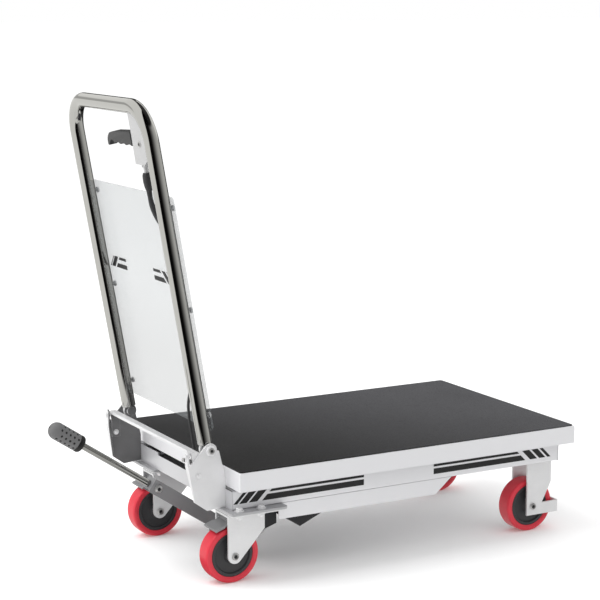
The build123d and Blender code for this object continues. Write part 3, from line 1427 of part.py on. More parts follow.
# Cable boot: a rubber cone under the adjuster
boot_top = Vector(*handle_point(adjuster_y, bracket_bottom - adjuster_length))
boot_end = Vector(*handle_point(cable_y, cable_boot_end))
cable_start_direction = Vector(*handle_point(*cable_upper_route[1])) - boot_end
boot_rings = [
    (boot_top, Vector(*handle_up) * -1, boot_top_diameter),
    ((boot_top + boot_end) * 0.5, boot_end - boot_top, boot_middle_diameter),
    (boot_end, cable_start_direction, boot_end_diameter),
]
with BuildPart() as cable_boot:
    for middle, direction, diameter in boot_rings:
        with BuildSketch(Plane(origin=middle, x_dir=handle_ahead, z_dir=direction)):
            Circle(diameter / 2)
    loft(ruled=True)
cable_boot.part.label = "cable_boot"
export_step(cable_boot.part, "parts/cable_boot.step")

# Release cable: from the boot into the tube, down inside it and out again above the leaf
with BuildPart() as release_cable:
    add(cord([handle_point(y, along) for y, along in cable_upper_route], cable_diameter))
release_cable.part.label = "release_cable"
export_step(release_cable.part, "parts/release_cable.step")

# Lower cable: a loose loop from the tube, past the pivot and under the frame's end to the valve arm
cable_arm_y = valve_arm_y - valve_arm_sheet / 2
loop_start = handle_point(*cable_upper_route[-1])
cable_last_bend = handle_point(*cable_upper_route[-2])
loop_second = [1.5 * (end - bend) + end for end, bend in zip(loop_start, cable_last_bend)]
loop_end = (valve_x - valve_tip_radius - slide_gap, cable_arm_y, valve_z + valve_arm_length)
loop_route = [
    loop_start,
    loop_second,
    (handle_pivot_x - 10, loop_start[1] + 23, handle_pivot_z + 48),
    (handle_pivot_x - 3, loop_start[1] + 25, handle_pivot_z + 10),
    (handle_pivot_x + 5, loop_start[1] + 28, handle_pivot_z - 28),
    (frame_rear_x - 18, loop_start[1] + 34, rail_top + 8),
    (frame_rear_x - 14, cable_arm_y - 12, rail_bottom + 13),
    (frame_rear_x + 1, cable_arm_y - 6, rail_bottom - 9),
    (frame_rear_x + 26, cable_arm_y - 2, rail_bottom - 11),
    (loop_end[0] - 20, cable_arm_y, loop_end[2] - 2),
    loop_end,
]
with BuildPart() as release_cable_loop:
    add(cord(loop_route, cable_diameter))
release_cable_loop.part.label = "release_cable_loop"
export_step(release_cable_loop.part, "parts/release_cable_loop.step")
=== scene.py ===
import json
from math import cos, pi, radians, sin

import bmesh
import bpy
from bpy.props import FloatProperty, FloatVectorProperty, IntProperty, PointerProperty
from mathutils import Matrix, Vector


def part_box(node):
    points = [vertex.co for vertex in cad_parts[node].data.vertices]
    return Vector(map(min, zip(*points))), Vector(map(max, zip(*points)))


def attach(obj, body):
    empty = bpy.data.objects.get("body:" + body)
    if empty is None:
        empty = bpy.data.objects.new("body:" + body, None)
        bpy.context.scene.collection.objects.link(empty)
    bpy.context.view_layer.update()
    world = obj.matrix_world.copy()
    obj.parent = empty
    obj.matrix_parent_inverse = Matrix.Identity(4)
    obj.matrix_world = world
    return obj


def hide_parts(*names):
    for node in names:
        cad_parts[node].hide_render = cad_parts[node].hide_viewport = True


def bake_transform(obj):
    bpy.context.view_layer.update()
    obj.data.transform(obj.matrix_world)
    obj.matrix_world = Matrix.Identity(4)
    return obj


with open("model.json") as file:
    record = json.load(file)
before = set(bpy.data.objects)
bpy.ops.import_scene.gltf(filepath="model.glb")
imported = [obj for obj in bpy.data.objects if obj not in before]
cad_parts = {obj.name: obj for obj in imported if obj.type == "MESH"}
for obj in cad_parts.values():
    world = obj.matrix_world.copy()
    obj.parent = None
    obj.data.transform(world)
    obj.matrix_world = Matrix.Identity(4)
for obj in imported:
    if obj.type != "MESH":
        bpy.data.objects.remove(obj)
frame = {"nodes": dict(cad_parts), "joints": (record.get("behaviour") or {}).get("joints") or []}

bl_info = {
    "name": "Scissor Lift Table Cart",
    "version": (1, 0, 0),
    "blender": (4, 5, 0),
    "location": "3D View > Sidebar > Cart",
    "description": "Dresses the lift table cart with its finishes, grips, bolts and stripes",
    "category": "Object",
}

# Sizes are in metres, in the frame of the cart: X to the front, Y to the left, Z up
MM = 0.001
ACROSS = Vector((0, 1, 0))
UP = Vector((0, 0, 1))
SIDES = {"left": 1, "right": -1}
WHEELS = ("rear_left", "rear_right", "front_left", "front_right")
CAMERA_PLACE = Vector((-1.5106, -2.7741, 0.9940))
CAMERA_AIM = Vector((0.4772, 0.8624, -0.1692))
# Turned shapes are closed up to a hole at their middle that is too small to see
CORE = 0.05 * MM
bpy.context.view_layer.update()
joints = {joint["name"]: joint for joint in frame["joints"]}

# The handle's own directions: across, up along the tubes, and ahead of their plane
handle_pivot = Vector(joints["handle_fold"]["pos_m"])
handle_ahead = Vector(joints["release_squeeze"]["axis"])
handle_up = Vector((-handle_ahead.z, 0, handle_ahead.x))

# The foot pedal's direction, from its pivot out to the grip
pedal_pivot = Vector(joints["foot_pedal"]["pos_m"])
rod_low, rod_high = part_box("pedal_rod")
pedal_out = ((rod_low + rod_high) / 2 - pedal_pivot).normalized()


def on_handle(y, along, ahead=0.0):
    """A point given across, along and ahead of the handle's middle plane."""
    return handle_pivot + Vector((0, y, 0)) + handle_up * along + handle_ahead * ahead


# Settings that a user would change


def colour_setting(name, description, value):
    """A colour in the sidebar, linear red, green and blue."""
    return FloatVectorProperty(
        name=name, description=description, subtype="COLOR", default=value, min=0, max=1
    )


def size_setting(name, description, millimetres):
    """A length in the sidebar."""
    return FloatProperty(
        name=name, description=description, default=millimetres * MM, min=0, unit="LENGTH", precision=4
    )


class CartColours(bpy.types.PropertyGroup):
    """Colours of the cart's finishes"""

    silver: colour_setting("Silver paint", "Platform, rails and frame sheet", (0.67, 0.67, 0.69))
    zinc: colour_setting("Bright zinc", "Casters, cheeks and brackets", (0.80, 0.80, 0.81))
    chrome: colour_setting("Chrome", "Handle tube and pedal rod", (0.55, 0.545, 0.53))
    steel: colour_setting("Bare steel", "Pins, shafts, rollers and bolts", (0.66, 0.655, 0.65))
    grey: colour_setting("Dark grey paint", "Pedal channel and brake pedals", (0.18, 0.18, 0.185))
    black: colour_setting("Black paint", "Pump, oil tank and cylinder", (0.018, 0.018, 0.02))
    mat: colour_setting("Deck mat", "Pebbled rubber on the platform", (0.022, 0.022, 0.024))
    tread: colour_setting("Wheel tread", "Red polyurethane", (0.66, 0.028, 0.05))
    hub: colour_setting("Wheel hub", "Moulded hub", (0.035, 0.035, 0.038))
    moulding: colour_setting("Black moulding", "Release lever", (0.028, 0.028, 0.03))
    rubber: colour_setting("Soft rubber", "Cable and boot", (0.03, 0.03, 0.032))
    grip: colour_setting("Grip rubber", "Sleeve on the pedal", (0.135, 0.135, 0.137))
    panel: colour_setting("Clear panel", "Frosted sheet on the handle", (0.36, 0.385, 0.395))
    stripe: colour_setting("Stripes", "Printed stripes on the rails and the panel", (0.012, 0.012, 0.013))
    floor: colour_setting("Floor", "Studio floor", (0.90, 0.90, 0.90))


class WheelSizes(bpy.types.PropertyGroup):
    """Shape of the tyre and the hub inside the wheel's box"""

    shoulder: size_setting("Shoulder", "Rounding where the tread meets the side wall", 3.6)
    side_step: size_setting("Side step", "Depth of the ring round the hub", 1.2)
    rim_width: size_setting("Rim width", "Width of the hub's outer ring", 7.0)
    cap_radius: size_setting("Cap radius", "Radius of the dust cap over the bearing", 14.0)


class GripSizes(bpy.types.PropertyGroup):
    """Shape of the pedal's rubber sleeve"""

    straight: size_setting("Straight length", "Length from the collar's end to the rounded end", 52.0)
    flange: size_setting("Collar", "Length of the black collar at the rod's end", 10.0)
    groove: size_setting("Groove", "Depth of the groove beside the collar", 1.4)
    dimple_radius: size_setting("Dimple radius", "Radius of one dimple", 2.2)
    dimple_depth: size_setting("Dimple depth", "Depth of one dimple", 1.4)
    rows: IntProperty(name="Rows", description="Rings of dimples along the sleeve", default=9, min=1)
    columns: IntProperty(name="Columns", description="Dimples in one ring", default=5, min=3)


class StripeSizes(bpy.types.PropertyGroup):
    """Printed stripes on the base rails and on the handle's panel"""

    film: size_setting("Film", "Thickness of the printed film", 0.12)
    rail_low: size_setting("Rail stripes from", "Height of the lower edge on the rail", 9.8)
    rail_band: size_setting("Rail band", "Height of the whole band on the rail", 18.4)
    thick: size_setting("Thick stripe", "Height of the lower stripe", 10.4)
    thin: size_setting("Thin stripe", "Height of the upper stripe", 4.4)
    panel_low: size_setting("Panel stripes from", "Distance of the band from the handle's pivot", 277.0)
    panel_band: size_setting("Panel band", "Height of the whole band on the panel", 20.5)


class BoltSizes(bpy.types.PropertyGroup):
    """Shape of the visible bolts, as shares of the thread's diameter"""

    head: FloatProperty(name="Head", description="Width across the head", default=1.65, min=1)
    height: FloatProperty(name="Height", description="Height of the head", default=0.62, min=0.1)
    washer: FloatProperty(name="Washer", description="Width of the washer", default=2.1, min=1)


# Shader maths


class Value:
    """A shader socket for use in expressions: each operator adds a Math node."""

    def __init__(self, finish, socket):
        self.finish = finish
        self.socket = socket

    def math(self, operation, *values):
        sockets = dict(enumerate(values))
        return self.finish.node("ShaderNodeMath", {"operation": operation}, sockets, 0)

    def __add__(self, other):
        return self.math("ADD", self, other)

    def __sub__(self, other):
        return self.math("SUBTRACT", self, other)

    def __rsub__(self, other):
        return self.math("SUBTRACT", other, self)

    def __mul__(self, other):
        return self.math("MULTIPLY", self, other)

    def __pow__(self, other):
        return self.math("POWER", self, other)

    __radd__ = __add__
    __rmul__ = __mul__

    def between(self, low, high):
        """0 below low, 1 above high and smooth between them."""
        settings = {"interpolation_type": "SMOOTHSTEP"}
        return self.finish.node("ShaderNodeMapRange", settings, {0: self, 1: low, 2: high}, 0)


class ShaderTree:
    """Builds nodes in the shader tree of a material or of the world."""

    def __init__(self, tree):
        self.nodes = tree.nodes
        self.links = tree.links

    def feed(self, socket, value):
        if isinstance(value, Value):
            self.links.new(value.socket, socket)
        else:
            socket.default_value = value

    def node(self, kind, settings, sockets, output):
        made = self.nodes.new(kind)
        for name, value in settings.items():
            setattr(made, name, value)
        for key, value in sockets.items():
            self.feed(made.inputs[key], value)
        return Value(self, made.outputs[output])

    def dot(self, vector, direction):
        """How far a vector reaches along a direction."""
        settings = {"operation": "DOT_PRODUCT"}
        return self.node("ShaderNodeVectorMath", settings, {0: vector, 1: direction}, 1)

    def mix(self, share, first, second):
        """A colour between two, by share."""
        colours = [value if isinstance(value, Value) else (*value, 1) for value in (first, second)]
        sockets = {0: share, 6: colours[0], 7: colours[1]}
        return self.node("ShaderNodeMix", {"data_type": "RGBA"}, sockets, 2)


class Finish(ShaderTree):
    """One procedural material, built around a principled surface."""

    def __init__(self, name):
        self.material = bpy.data.materials.new(name)
        self.material.use_nodes = True
        super().__init__(self.material.node_tree)
        self.surface = self.nodes["Principled BSDF"]
        self.place = self.node("ShaderNodeTexCoord", {}, {}, "Object")

    def noise(self, per_metre, detail=2.0, stretch=(1, 1, 1)):
        """Soft noise from 0 to 1, with so many blobs in a metre."""
        vector = self.node("ShaderNodeMapping", {}, {"Vector": self.place, "Scale": stretch}, 0)
        sockets = {"Vector": vector, "Scale": per_metre, "Detail": detail}
        return self.node("ShaderNodeTexNoise", {}, sockets, 0)

    def pebbles(self, per_metre):
        """Rounded cells from 0 at their middle to 1 at their rim."""
        settings = {"feature": "SMOOTH_F1"}
        sockets = {"Vector": self.place, "Scale": per_metre, "Smoothness": 0.6}
        return self.node("ShaderNodeTexVoronoi", settings, sockets, "Distance")

    def soft_edges(self, radius):
        """The surface's direction with edges rounded to a radius, and a mask of those edges."""
        rounded_normal = self.node("ShaderNodeBevel", {"samples": 4}, {"Radius": radius}, 0)
        true_normal = self.node("ShaderNodeNewGeometry", {}, {}, "Normal")
        return rounded_normal, (1 - self.dot(rounded_normal, true_normal)).between(0.01, 0.12)

    def facing(self, direction):
        """How squarely the surface looks in a direction, from -1 to 1."""
        return self.dot(self.node("ShaderNodeNewGeometry", {}, {}, "Normal"), direction)

    def along(self, direction):
        """How far the surface lies in a direction, in metres."""
        return self.dot(self.place, direction)

    def bump(self, height, distance, normal=None):
        sockets = {"Height": height, "Distance": distance, "Strength": 1.0}
        if normal:
            sockets["Normal"] = normal
        return self.node("ShaderNodeBump", {}, sockets, 0)

    def shade(self, **sockets):
        """Feeds the surface; words in a socket's name are joined by underscores."""
        for name, value in sockets.items():
            socket = self.surface.inputs[name.replace("_", " ")]
            is_colour = socket.type == "RGBA" and not isinstance(value, Value)
            self.feed(socket, (*value, 1) if is_colour else value)
        return self.material


def scaled(colour, factor):
    return tuple(min(1.0, part * factor) for part in colour)


def silver_paint(name, silver, shade_inside=False):
    """Satin metallic paint with fine flake, a slow unevenness and paler edges.

    Faces turned into the frame's rear may be painted nearly black, as painted shade inside the frame."""
    finish = Finish(name)
    normal, edges = finish.soft_edges(0.9 * MM)
    flake = finish.noise(2400, 1)
    cloud = finish.noise(7, 3)
    paint = finish.mix(cloud * 0.6 + flake * 0.3, scaled(silver, 0.93), scaled(silver, 1.05))
    # Painted shade: faces turned up or forwards in the rear half go nearly black, for the shade inside the
    # frame
    if shade_inside:
        inward = finish.facing(Vector((0.7, 0, 0.7))).between(0.5, 0.65)
        rear_half = 1 - finish.along(Vector((1, 0, 0))).between(-0.1, 0.0)
        paint = finish.mix(inward * rear_half, paint, scaled(silver, 0.03))
    return finish.shade(
        Base_Color=finish.mix(edges * 0.35, paint, scaled(silver, 1.25)),
        Metallic=0.45,
        Roughness=0.30 + cloud * 0.10 + flake * 0.05,
        Normal=finish.bump(flake, 0.02 * MM, normal),
    )


def zinc_plate(name, zinc):
    """Zinc plate: pale steel with faint clouds, rolling lines and brighter edges."""
    finish = Finish(name)
    normal, edges = finish.soft_edges(0.8 * MM)
    cloud = finish.noise(38, 4)
    lines = finish.noise(90, 2, (1, 1, 14))
    tone = cloud * 0.7 + lines * 0.3
    plate = finish.mix(tone, scaled(zinc, 0.86), scaled(zinc, 1.08))
    return finish.shade(
        Base_Color=finish.mix(edges * 0.4, plate, scaled(zinc, 1.25)),
        Metallic=0.35,
        Roughness=0.28 + tone * 0.16,
        Normal=finish.bump(lines, 0.015 * MM, normal),
    )


def cheek_zinc(colours):
    """Zinc plate with painted shade: much darker on the faces turned towards the cart's middle."""
    finish = Finish("cheek_zinc")
    normal, edges = finish.soft_edges(0.8 * MM)
    outward = finish.facing(ACROSS) * finish.along(ACROSS)
    # Painted shade on the faces turned inwards, for the shade and dark reflections between the cheeks
    inside = 1 - outward.between(-0.14, -0.06)
    cloud = finish.noise(38, 4)
    plate = finish.mix(cloud, scaled(colours.zinc, 0.88), scaled(colours.zinc, 1.06))
    inside_shade_colour = finish.mix(cloud, scaled(colours.zinc, 0.16), scaled(colours.zinc, 0.24))
    return finish.shade(
        Base_Color=finish.mix(
            edges * 0.4, finish.mix(inside, plate, inside_shade_colour), scaled(colours.zinc, 1.25)
        ),
        Metallic=0.35,
        Roughness=0.28 + cloud * 0.16,
        Normal=normal,
    )


def polished_chrome(name, chrome):
    """Mirror plate with a trace of handling marks."""
    finish = Finish(name)
    smear = finish.noise(24, 5)
    return finish.shade(
        Base_Color=finish.mix(smear, scaled(chrome, 0.96), scaled(chrome, 1.04)),
        Metallic=1.0,
        Roughness=0.035 + smear.between(0.45, 0.8) * 0.06,
    )


def machined_steel(colours):
    """Bare turned steel with fine tool lines and a thin oil stain."""
    finish = Finish("machined_steel")
    normal, edges = finish.soft_edges(0.5 * MM)
    stain = finish.noise(45, 4)
    tool = finish.noise(260, 2, (1, 6, 1))
    bare = finish.mix(stain.between(0.35, 0.75), colours.steel, scaled(colours.steel, 0.72))
    return finish.shade(
        Base_Color=finish.mix(edges * 0.5, bare, scaled(colours.steel, 1.4)),
        Metallic=0.8,
        Roughness=0.22 + stain * 0.18,
        Normal=finish.bump(tool, 0.02 * MM, normal),
    )


def coat_paint(name, colour, roughness):
    """Sprayed paint with orange peel, a dusty cloud and edges worn paler."""
    finish = Finish(name)
    normal, edges = finish.soft_edges(0.8 * MM)
    peel = finish.noise(420, 2)
    dust = finish.noise(16, 4)
    coat = finish.mix(dust * 0.5, colour, scaled(colour, 1.5))
    return finish.shade(
        Base_Color=finish.mix(edges * 0.45, coat, scaled(colour, 2.6)),
        Roughness=roughness + dust * 0.14,
        Normal=finish.bump(peel, 0.05 * MM, normal),
    )


def deck_rubber(colours):
    """Rubber sheet with a fine pebbled grain, painted darker towards the rear and lighter towards the front
    and left, as painted shade and sheen.
    """
    finish = Finish("deck_rubber")
    normal = finish.soft_edges(0.8 * MM)[0]
    grain = finish.pebbles(520)
    scuff = finish.noise(5, 5)
    # Painted shade and sheen: the sheet grows lighter towards the front and the left side
    forward = finish.along(Vector((1, 0.6, 0))).between(-0.35, 0.55)
    painted_sheen_sheet = finish.mix(forward, scaled(colours.mat, 0.3), scaled(colours.mat, 3.4))
    sheet = finish.mix(scuff.between(0.35, 0.8) * 0.3, painted_sheen_sheet, scaled(colours.mat, 2.0))
    return finish.shade(
        Base_Color=finish.mix(grain.between(0.5, 0.9) * 0.5, sheet, scaled(colours.mat, 0.5)),
        Roughness=0.38 + scuff * 0.16 + grain * 0.12,
        Normal=finish.bump(1 - grain, 0.32 * MM, normal),
        Specular_IOR_Level=0.36,
    )


def red_polyurethane(colours):
    """Smooth cast tread with a faint bloom and fine scuffs."""
    finish = Finish("red_polyurethane")
    bloom = finish.noise(55, 4)
    scuff = finish.noise(300, 3)
    return finish.shade(
        Base_Color=finish.mix(bloom, scaled(colours.tread, 0.9), scaled(colours.tread, 1.08)),
        Roughness=0.34 + bloom * 0.10 + scuff.between(0.55, 0.8) * 0.1,
        Normal=finish.bump(scuff, 0.03 * MM),
    )


def moulded_plastic(name, colour, roughness, grain_per_metre=900):
    """Moulded plastic with a spark-eroded grain."""
    finish = Finish(name)
    grain = finish.noise(grain_per_metre, 2)
    flow = finish.noise(30, 3)
    return finish.shade(
        Base_Color=finish.mix(flow, scaled(colour, 0.85), scaled(colour, 1.2)),
        Roughness=roughness + flow * 0.12,
        Normal=finish.bump(grain, 0.04 * MM),
    )


def dimpled_rubber(colours):
    """Dull rubber, darker in the hollows pressed into it as painted shade."""
    finish = Finish("grip_rubber")
    grain = finish.noise(700, 2)
    rub = finish.noise(60, 3)
    # Painted shade: the dimples are darkened by how deep each point was pressed
    hollow = finish.node("ShaderNodeAttribute", {"attribute_name": "hollow"}, {}, "Fac")
    sleeve = finish.mix(rub, scaled(colours.grip, 0.85), scaled(colours.grip, 1.15))
    return finish.shade(
        Base_Color=finish.mix(hollow.between(0.1, 0.6), sleeve, scaled(colours.grip, 0.12)),
        Roughness=0.55 + rub * 0.1,
        Normal=finish.bump(grain, 0.05 * MM),
    )


def frosted_sheet(colours):
    """Clear acrylic sheet with a light frost, darker over its lowest part near the pivot as painted shade.
    """
    finish = Finish("frosted_sheet")
    haze = finish.noise(6, 3)
    foot = handle_pivot.dot(handle_up)
    # Painted shade: the sheet is darker over its lowest part
    upper = finish.along(handle_up).between(foot + 0.08, foot + 0.30)
    frost_with_shade = finish.mix(upper, scaled(colours.panel, 0.5), colours.panel)
    return finish.shade(
        Base_Color=finish.mix(haze * 0.1, frost_with_shade, scaled(colours.panel, 1.1)),
        Roughness=0.16 + haze * 0.1,
        Alpha=0.30,
        IOR=1.49,
    )


def stripe_film(colours):
    """Printed film, slightly uneven in its black."""
    finish = Finish("stripe_film")
    ink = finish.noise(60, 3)
    return finish.shade(
        Base_Color=finish.mix(ink, scaled(colours.stripe, 0.8), scaled(colours.stripe, 1.35)),
        Roughness=0.5 + ink * 0.1,
    )


def finish_named(name):
    """A finish by its name, made once and then shared by every piece that has it."""
    ready = bpy.data.materials.get(name)
    if ready:
        return ready
    colours = bpy.context.scene.cart_colours
    makers = {
        "silver_paint": lambda: silver_paint("silver_paint", colours.silver),
        # Silver paint with painted shade on the faces inside the frame's rear
        "silver_shaded_inside": lambda: silver_paint("silver_shaded_inside", colours.silver, True),
        # A shaded copy of the silver paint at 0.7 of its brightness: painted shade
        "shaded_copy_silver": lambda: silver_paint("shaded_copy_silver", scaled(colours.silver, 0.70)),
        "bright_zinc": lambda: zinc_plate("bright_zinc", colours.zinc),
        "cast_zinc": lambda: zinc_plate("cast_zinc", scaled(colours.zinc, 0.66)),
        "cheek_zinc": lambda: cheek_zinc(colours),
        "polished_chrome": lambda: polished_chrome("polished_chrome", colours.chrome),
        # A darker copy of the chrome, as painted shade on the pedal rod
        "shaded_chrome": lambda: polished_chrome("shaded_chrome", scaled(colours.chrome, 0.62)),
        "machined_steel": lambda: machined_steel(colours),
        "dark_grey_paint": lambda: coat_paint("dark_grey_paint", colours.grey, 0.36),
        "black_paint": lambda: coat_paint("black_paint", colours.black, 0.28),
        "deck_rubber": lambda: deck_rubber(colours),
        "red_polyurethane": lambda: red_polyurethane(colours),
        "hub_moulding": lambda: moulded_plastic("hub_moulding", colours.hub, 0.42),
        "lever_moulding": lambda: moulded_plastic("lever_moulding", colours.moulding, 0.40),
        "soft_rubber": lambda: moulded_plastic("soft_rubber", colours.rubber, 0.48, 600),
        "collar_rubber": lambda: moulded_plastic(
            "collar_rubber", scaled(colours.rubber, 0.3), 0.40, 600
        ),
        "grip_rubber": lambda: dimpled_rubber(colours),
        "frosted_sheet": lambda: frosted_sheet(colours),
        "stripe_film": lambda: stripe_film(colours),
    }
    return makers[name]()


# Mesh helpers


def paint_nodes(finish_name, *node_names):
    """Gives CAD pieces whose shape is right their finish."""
    for node_name in node_names:
        for slot in frame["nodes"][node_name].material_slots:
            slot.material = finish_named(finish_name)


def rounded(points, radius, steps=3):
    """A closed outline with each corner replaced by a small curve."""
    corners = [Vector(point) for point in points]
    outline = []
    for n, corner in enumerate(corners):
        before = corners[n - 1] - corner
        after = corners[(n + 1) % len(corners)] - corner
        start = corner + before.normalized() * min(radius, 0.45 * before.length)
        end = corner + after.normalized() * min(radius, 0.45 * after.length)
        for step in range(steps + 1):
            t = step / steps
            outline.append(start * (1 - t) ** 2 + corner * (2 * t * (1 - t)) + end * t**2)
    return outline


def circle(mesh, centre, axis, side, radius, segments):
    """Adds points round an axis; side is the way from the centre to the first of them."""
    other = axis.cross(side)
    turns = [2 * pi * n / segments for n in range(segments)]
    return [mesh.verts.new(centre + (side * cos(a) + other * sin(a)) * radius) for a in turns]


def skin(mesh, first, second):
    """Adds the faces between two closed rows of as many points."""
    for n in range(len(first)):
        following = (n + 1) % len(first)
        mesh.faces.new((first[n], first[following], second[following], second[n]))


def turn(mesh, outline, centre, axis, segments):
    """Adds a closed outline, given along an axis and out from it, turned round that axis."""
    side = axis.orthogonal().normalized()
    circles = [circle(mesh, centre + axis * along, axis, side, out, segments) for along, out in outline]
    for n, last in enumerate(circles):
        skin(mesh, circles[n - 1], last)


def prism(mesh, outline, place, low, high, edge_radius=0.0):
    """Adds a flat outline as a solid between two levels.

    place turns across, along and level into a point."""
    rims = [[mesh.verts.new(place(u, v, level)) for u, v in outline] for level in (low, high)]
    faces = [mesh.faces.new(reversed(rims[0])), mesh.faces.new(rims[1])]
    skin(mesh, *rims)
    if edge_radius:
        edges = [edge for face in faces for edge in face.edges]
        bmesh.ops.bevel(
            mesh,
            geom=edges,
            offset=edge_radius,
            segments=3,
            profile=0.5,
            affect="EDGES",
            clamp_overlap=True,
        )


def flat_ring(mesh, centre, axis, inner, outer, segments):
    """Adds a flat ring square to an axis."""
    side = axis.orthogonal().normalized()
    rims = [circle(mesh, centre, axis, side, radius, segments) for radius in (inner, outer)]
    skin(mesh, *rims)


def tube(mesh, places, radii, segments, closed=True):
    """Adds a round tube through places, with its radius at each of them."""
    circles = []
    side = None
    for n, place in enumerate(places):
        ahead = (places[min(n + 1, len(places) - 1)] - places[max(n - 1, 0)]).normalized()
        side = (ahead.orthogonal() if side is None else side - ahead * side.dot(ahead)).normalized()
        circles.append(circle(mesh, place, ahead, side, radii[n], segments))
    for last, following in zip(circles, circles[1:]):
        skin(mesh, last, following)
    if closed:
        mesh.faces.new(reversed(circles[0]))
        mesh.faces.new(circles[-1])


def add_rivet(mesh, centre, axis, half, radius, sunk):
    """Adds a low round head with a sunk middle on each face, half a span from the centre."""
    head, edge, flare = 1.4 * MM, 0.8 * MM, 0.5 * MM
    floor, foot = half + 0.1 * MM, half - 0.4 * MM
    outline = [
        (floor, CORE),
        (floor, sunk),
        (half + head, sunk + flare),
        (half + head, radius - edge),
        (half + 0.4 * head, radius),
        (foot, radius),
        (foot, CORE),
    ]
    for way in (axis, -axis):
        turn(mesh, outline, centre, way, 32)


def both_faces(centre, axis, half, radius):
    """Seats of the recesses on both faces of a piece, half a span from its centre."""
    return [(centre + way * half, way, radius) for way in (axis, -axis)]


def smooth_route(points):
    """Points along the smooth curve that a cord's route is the control line of."""
    curve = bpy.data.curves.new("route", "CURVE")
    curve.dimensions = "3D"
    curve.resolution_u = 12
    spline = curve.splines.new("NURBS")
    spline.points.add(len(points) - 1)
    for control, point in zip(spline.points, points):
        control.co = (*point, 1)
    spline.order_u = 3
    spline.use_endpoint_u = True
    carrier = bpy.data.objects.new("route", curve)
    line = bpy.data.meshes.new_from_object(carrier)
    places = [vertex.co.copy() for vertex in line.vertices]
    bpy.data.objects.remove(carrier)
    bpy.data.curves.remove(curve)
    bpy.data.meshes.remove(line)
    return places


def add_piece(name, mesh, finish_name, sharp_angle=40, outwards=True):
    """Turns a worked mesh into a piece with its finish, smooth between sharp edges."""
    if outwards:
        bmesh.ops.recalc_face_normals(mesh, faces=mesh.faces)
    data = bpy.data.meshes.new(name)
    mesh.to_mesh(data)
    mesh.free()
    return add_mesh(name, data, finish_name, sharp_angle)


def add_mesh(name, data, finish_name, sharp_angle):
    """Puts a finished mesh into the scene at the origin."""
    data.materials.clear()
    data.materials.append(finish_named(finish_name))
    data.shade_smooth()
    data.set_sharp_from_angle(angle=radians(sharp_angle))
    piece = bpy.data.objects.new(name, data)
    bpy.context.scene.collection.objects.link(piece)
    return piece


# Bolts, made by one node tree that sets a head, a washer, a shank and a nut at each point


